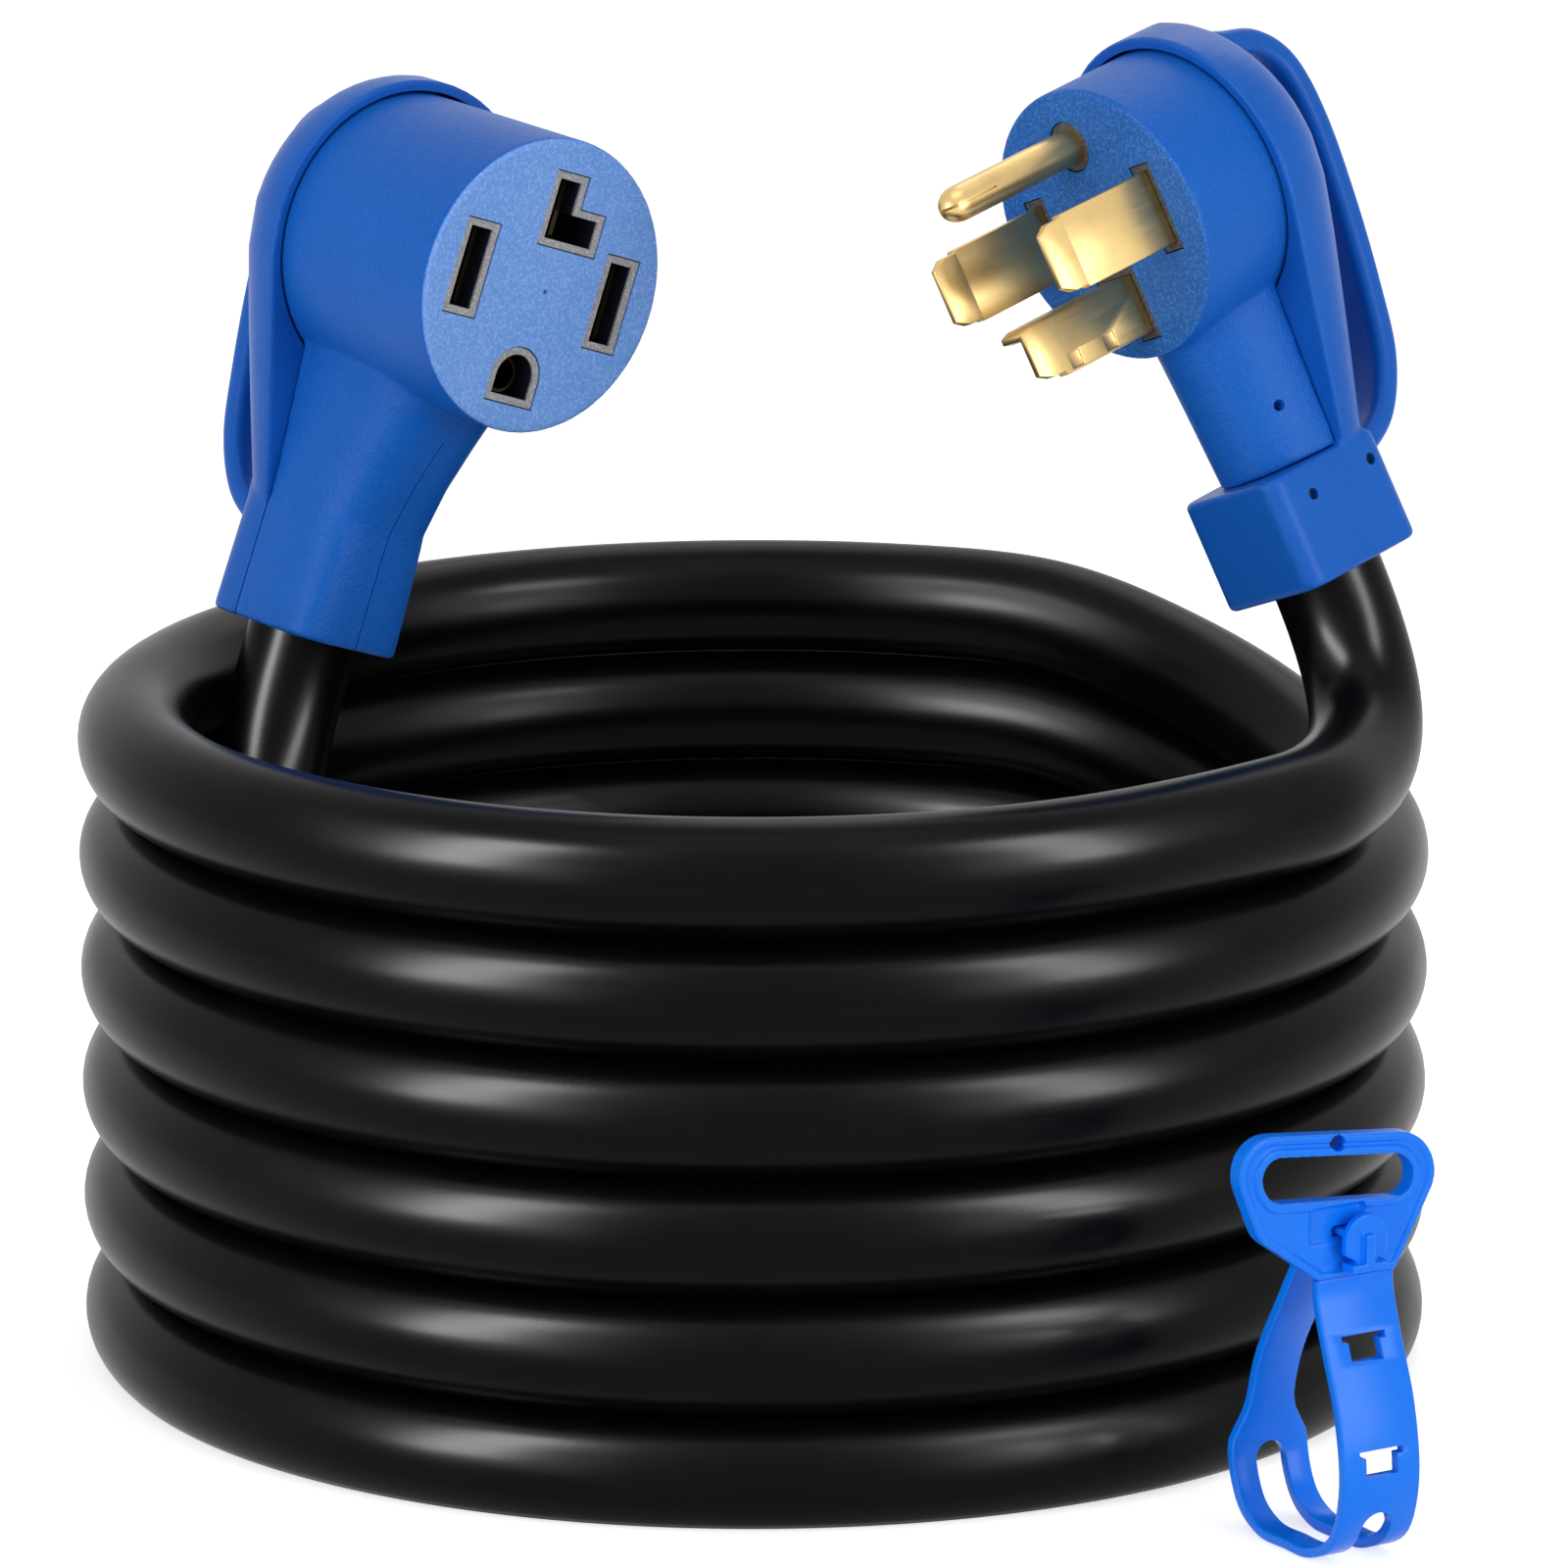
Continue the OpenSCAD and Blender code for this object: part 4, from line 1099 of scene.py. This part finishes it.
def makePlate():
    s = strapShape
    rim, half, z = s["gripThick"] / 2, s["slitWidth"] / 2, s["slitZ"]
    plate = joined("strapGrip", [upright(gripOutline(0, 0, 0.1), -rim, rim)])
    # a shallow field between the outer edge and the rim of the opening
    cut(plate, [upright(gripOutline(1.2, 0.6, 1.2), rim - s["fieldDeep"], 9)])
    bead = joined("openingBead", [upright(openingOutline(s["beadWide"]), -rim + 0.4, rim + 0.1)])
    union = plate.modifiers.new("bead", "BOOLEAN")
    union.operation = "UNION"
    union.solver = "EXACT"
    union.object = bead
    bake(plate)
    drop(bead)
    slit = [(-half, z - s["slitHalf"]), (half, z - s["slitHalf"]), (half, z + s["slitHalf"]),
            (-half, z + s["slitHalf"])]
    left, right, below, above = s["recess"]
    recess = [(left, z + above), (left, z - below), (right, z - below), (right, z + above)]
    hang = hullOutline([(s["gripShift"], s["gripLow"] + s["gripHeight"] - s["hangTop"], s["hangRadius"])], [])
    cut(plate, [upright(openingOutline(0), -9, 9), upright(slit, -9, 9), upright(sagged(hang), -9, 9),
                upright(recess, rim - s["recessDeep"], 9)])
    placed(shade(melted(plate, s["voxel"], s["smoothSteps"]), 50), strapMatrix)
    finishPiece(plate, plastics["strap"], strapBody, "strap_blue", "strap_grip")


hookShape = {
    # half width, nearest and farthest from the plate's front, lowest and highest from the slit
    "tongue": (3.5, -2.5, 6.1, -0.55, 0.55), "lip": (3.4, -3.6, -0.4, -6.0, -4.7), "rib": (0.8, -3.6, -1.2, -5.2, 0),
    "tabRadius": 4.0, "tabUp": -1.0, "tabFoot": -3.2, "tabNear": 1.1, "tabFar": 2.5, "sunk": 0.1, "voxel": 0.16,
    "smoothSteps": 2,
}


def makeHook():
    # a tongue through the slit, a round tab on its front, a lip and a rib
    h, z = hookShape, strapShape["slitZ"]
    front = -strapShape["gripThick"] / 2 + h["sunk"]
    tongue, lip, rib = [box(-half, half, front + near, front + far, z + low, z + high)
                        for half, near, far, low, high in (h["tongue"], h["lip"], h["rib"])]
    radius, foot = h["tabRadius"], z + h["tabFoot"]
    tab = hullOutline([(0, z + h["tabUp"], radius)], [(-radius, foot), (radius, foot)])
    solids = [tongue, upright(tab, h["tabNear"] - front, h["tabFar"] - front), lip, rib]
    hook = blended("strapHook", solids, h["voxel"], h["smoothSteps"])
    placed(shade(hook, 45), strapMatrix)
    finishPiece(hook, plastics["strap"], strapBody, "strap_blue", "strap_hook")


makeBand()
makePlate()
makeHook()
print("strap made")

# the carried-over nodes get their finishes
carried = {
    "plug_blade_carrier": plastics["plugInsert"], "connector_contact_carrier": plastics["connectorInsert"],
    "plug_cord_seal": plastics["seal"], "connector_cord_seal": plastics["seal"],
    "plug_cover_screws": darkSteel, "connector_cover_screws": darkSteel,
}
# the connector's contacts get the brass darkened by painted shade
for contact in ("hot_contact_left", "hot_contact_right", "neutral_contact", "ground_contact"):
    carried["connector_" + contact] = connectorShadedBrass
wireColours = {"hot_wire_left": (0.02, 0.02, 0.02, 1), "hot_wire_right": (0.55, 0.03, 0.03, 1),
               "neutral_wire": (0.75, 0.75, 0.74, 1), "ground_wire": (0.03, 0.36, 0.10, 1)}
for wireName, colour in wireColours.items():
    words = wireName.split("_")
    finish = wireMaterial(words[0] + "".join(word.capitalize() for word in words[1:]), colour)
    carried["plug_" + wireName] = finish
    carried["connector_" + wireName] = finish
for nodeName, finish in carried.items():
    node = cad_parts[nodeName]
    node.data.materials.clear()
    node.data.materials.append(finish)
print("frame nodes finished")

# floor, backdrop and light
stageLook = {"floorSize": 6.0, "floorBelow": 0.0002, "floorColour": 0.86, "floorRough": 0.8, "floorGlow": 0.62,
             "ambient": 0.42, "lampDistance": 1.2, "lampAim": (0, 0, 0.11)}


def seenByEye(tree):
    # 1 for rays from the camera, in reflections and through glass, 0 for the light on the object
    rays = tree.nodes.new("ShaderNodeLightPath")
    seen = mathNode(tree, "MAXIMUM", rays.outputs["Is Camera Ray"], rays.outputs["Is Glossy Ray"])
    return mathNode(tree, "MAXIMUM", seen, rays.outputs["Is Transmission Ray"])


def makeFloor():
    half, tone = stageLook["floorSize"] / 2, stageLook["floorColour"]
    corners = [(-half, -half, 0), (half, -half, 0), (half, half, 0), (-half, half, 0)]
    floor = meshObject("floor", corners, [(0, 1, 2, 3)])
    floor.location.z = -stageLook["floorBelow"]
    material, tree, shader = newMaterial("paleFloor")
    shader.inputs["Base Color"].default_value = (tone, tone, tone, 1)
    shader.inputs["Roughness"].default_value = stageLook["floorRough"]
    shader.inputs["Specular IOR Level"].default_value = 0.1
    glow = tree.nodes.new("ShaderNodeEmission")
    tree.links.new(mathNode(tree, "MULTIPLY", seenByEye(tree), stageLook["floorGlow"]), glow.inputs["Strength"])
    both = tree.nodes.new("ShaderNodeAddShader")
    tree.links.new(shader.outputs[0], both.inputs[0])
    tree.links.new(glow.outputs[0], both.inputs[1])
    tree.links.new(both.outputs[0], tree.nodes["Material Output"].inputs["Surface"])
    floor.data.materials.append(material)


def makeWorld():
    world = bpy.data.worlds.new("studio")
    bpy.context.scene.world = world
    world.use_nodes = True
    tree = world.node_tree
    background = tree.nodes["Background"]
    seen = seenByEye(tree)
    background.inputs["Color"].default_value = (1, 1, 1, 1)
    tree.links.new(spread(tree, seen, 0, 1, stageLook["ambient"], 1.0), background.inputs["Strength"])


lamps = [
    # azimuth from the camera's side and elevation in degrees, width and height in metres, watts, and whether
    # it lights the cord alone, for the long gleams on the jacket
    ("leftSoftbox", -42.0, 9.0, 0.6, 0.6, 5.4, False), ("rightSoftbox", 48.0, 10.0, 0.6, 0.6, 5.4, False),
    ("topSoftbox", 10.0, 78.0, 0.8, 0.8, 2.3, False), ("backSoftbox", 165.0, 45.0, 0.6, 0.6, 1.6, False),
    ("leftGleam", -50.0, 30.0, 0.30, 1.00, 80.0, True), ("rightGleam", 57.0, 30.0, 0.30, 1.00, 50.0, True),
]


def makeLamps():
    aim = Vector(stageLook["lampAim"])
    cordAlone = bpy.data.collections.new("cordAlone")
    cordAlone.objects.link(powerCord)
    for name, azimuth, elevation, width, height, watts, forCord in lamps:
        a, e = math.radians(azimuth), math.radians(elevation)
        way = Vector((math.sin(a) * math.cos(e), -math.cos(a) * math.cos(e), math.sin(e)))
        light = bpy.data.lights.new(name, "AREA")
        light.shape = "RECTANGLE"
        light.size = width
        light.size_y = height
        light.energy = watts
        lamp = bpy.data.objects.new(name, light)
        lamp.location = aim + stageLook["lampDistance"] * way
        lamp.rotation_euler = way.to_track_quat("Z", "Y").to_euler()
        lamp.visible_diffuse = not forCord
        if forCord:
            lamp.light_linking.receiver_collection = cordAlone
            lamp.light_linking.blocker_collection = cordAlone
        bpy.context.scene.collection.objects.link(lamp)


makeFloor()
makeWorld()
makeLamps()
bpy.context.scene.view_settings.view_transform = "Standard"
print("stage and light set")
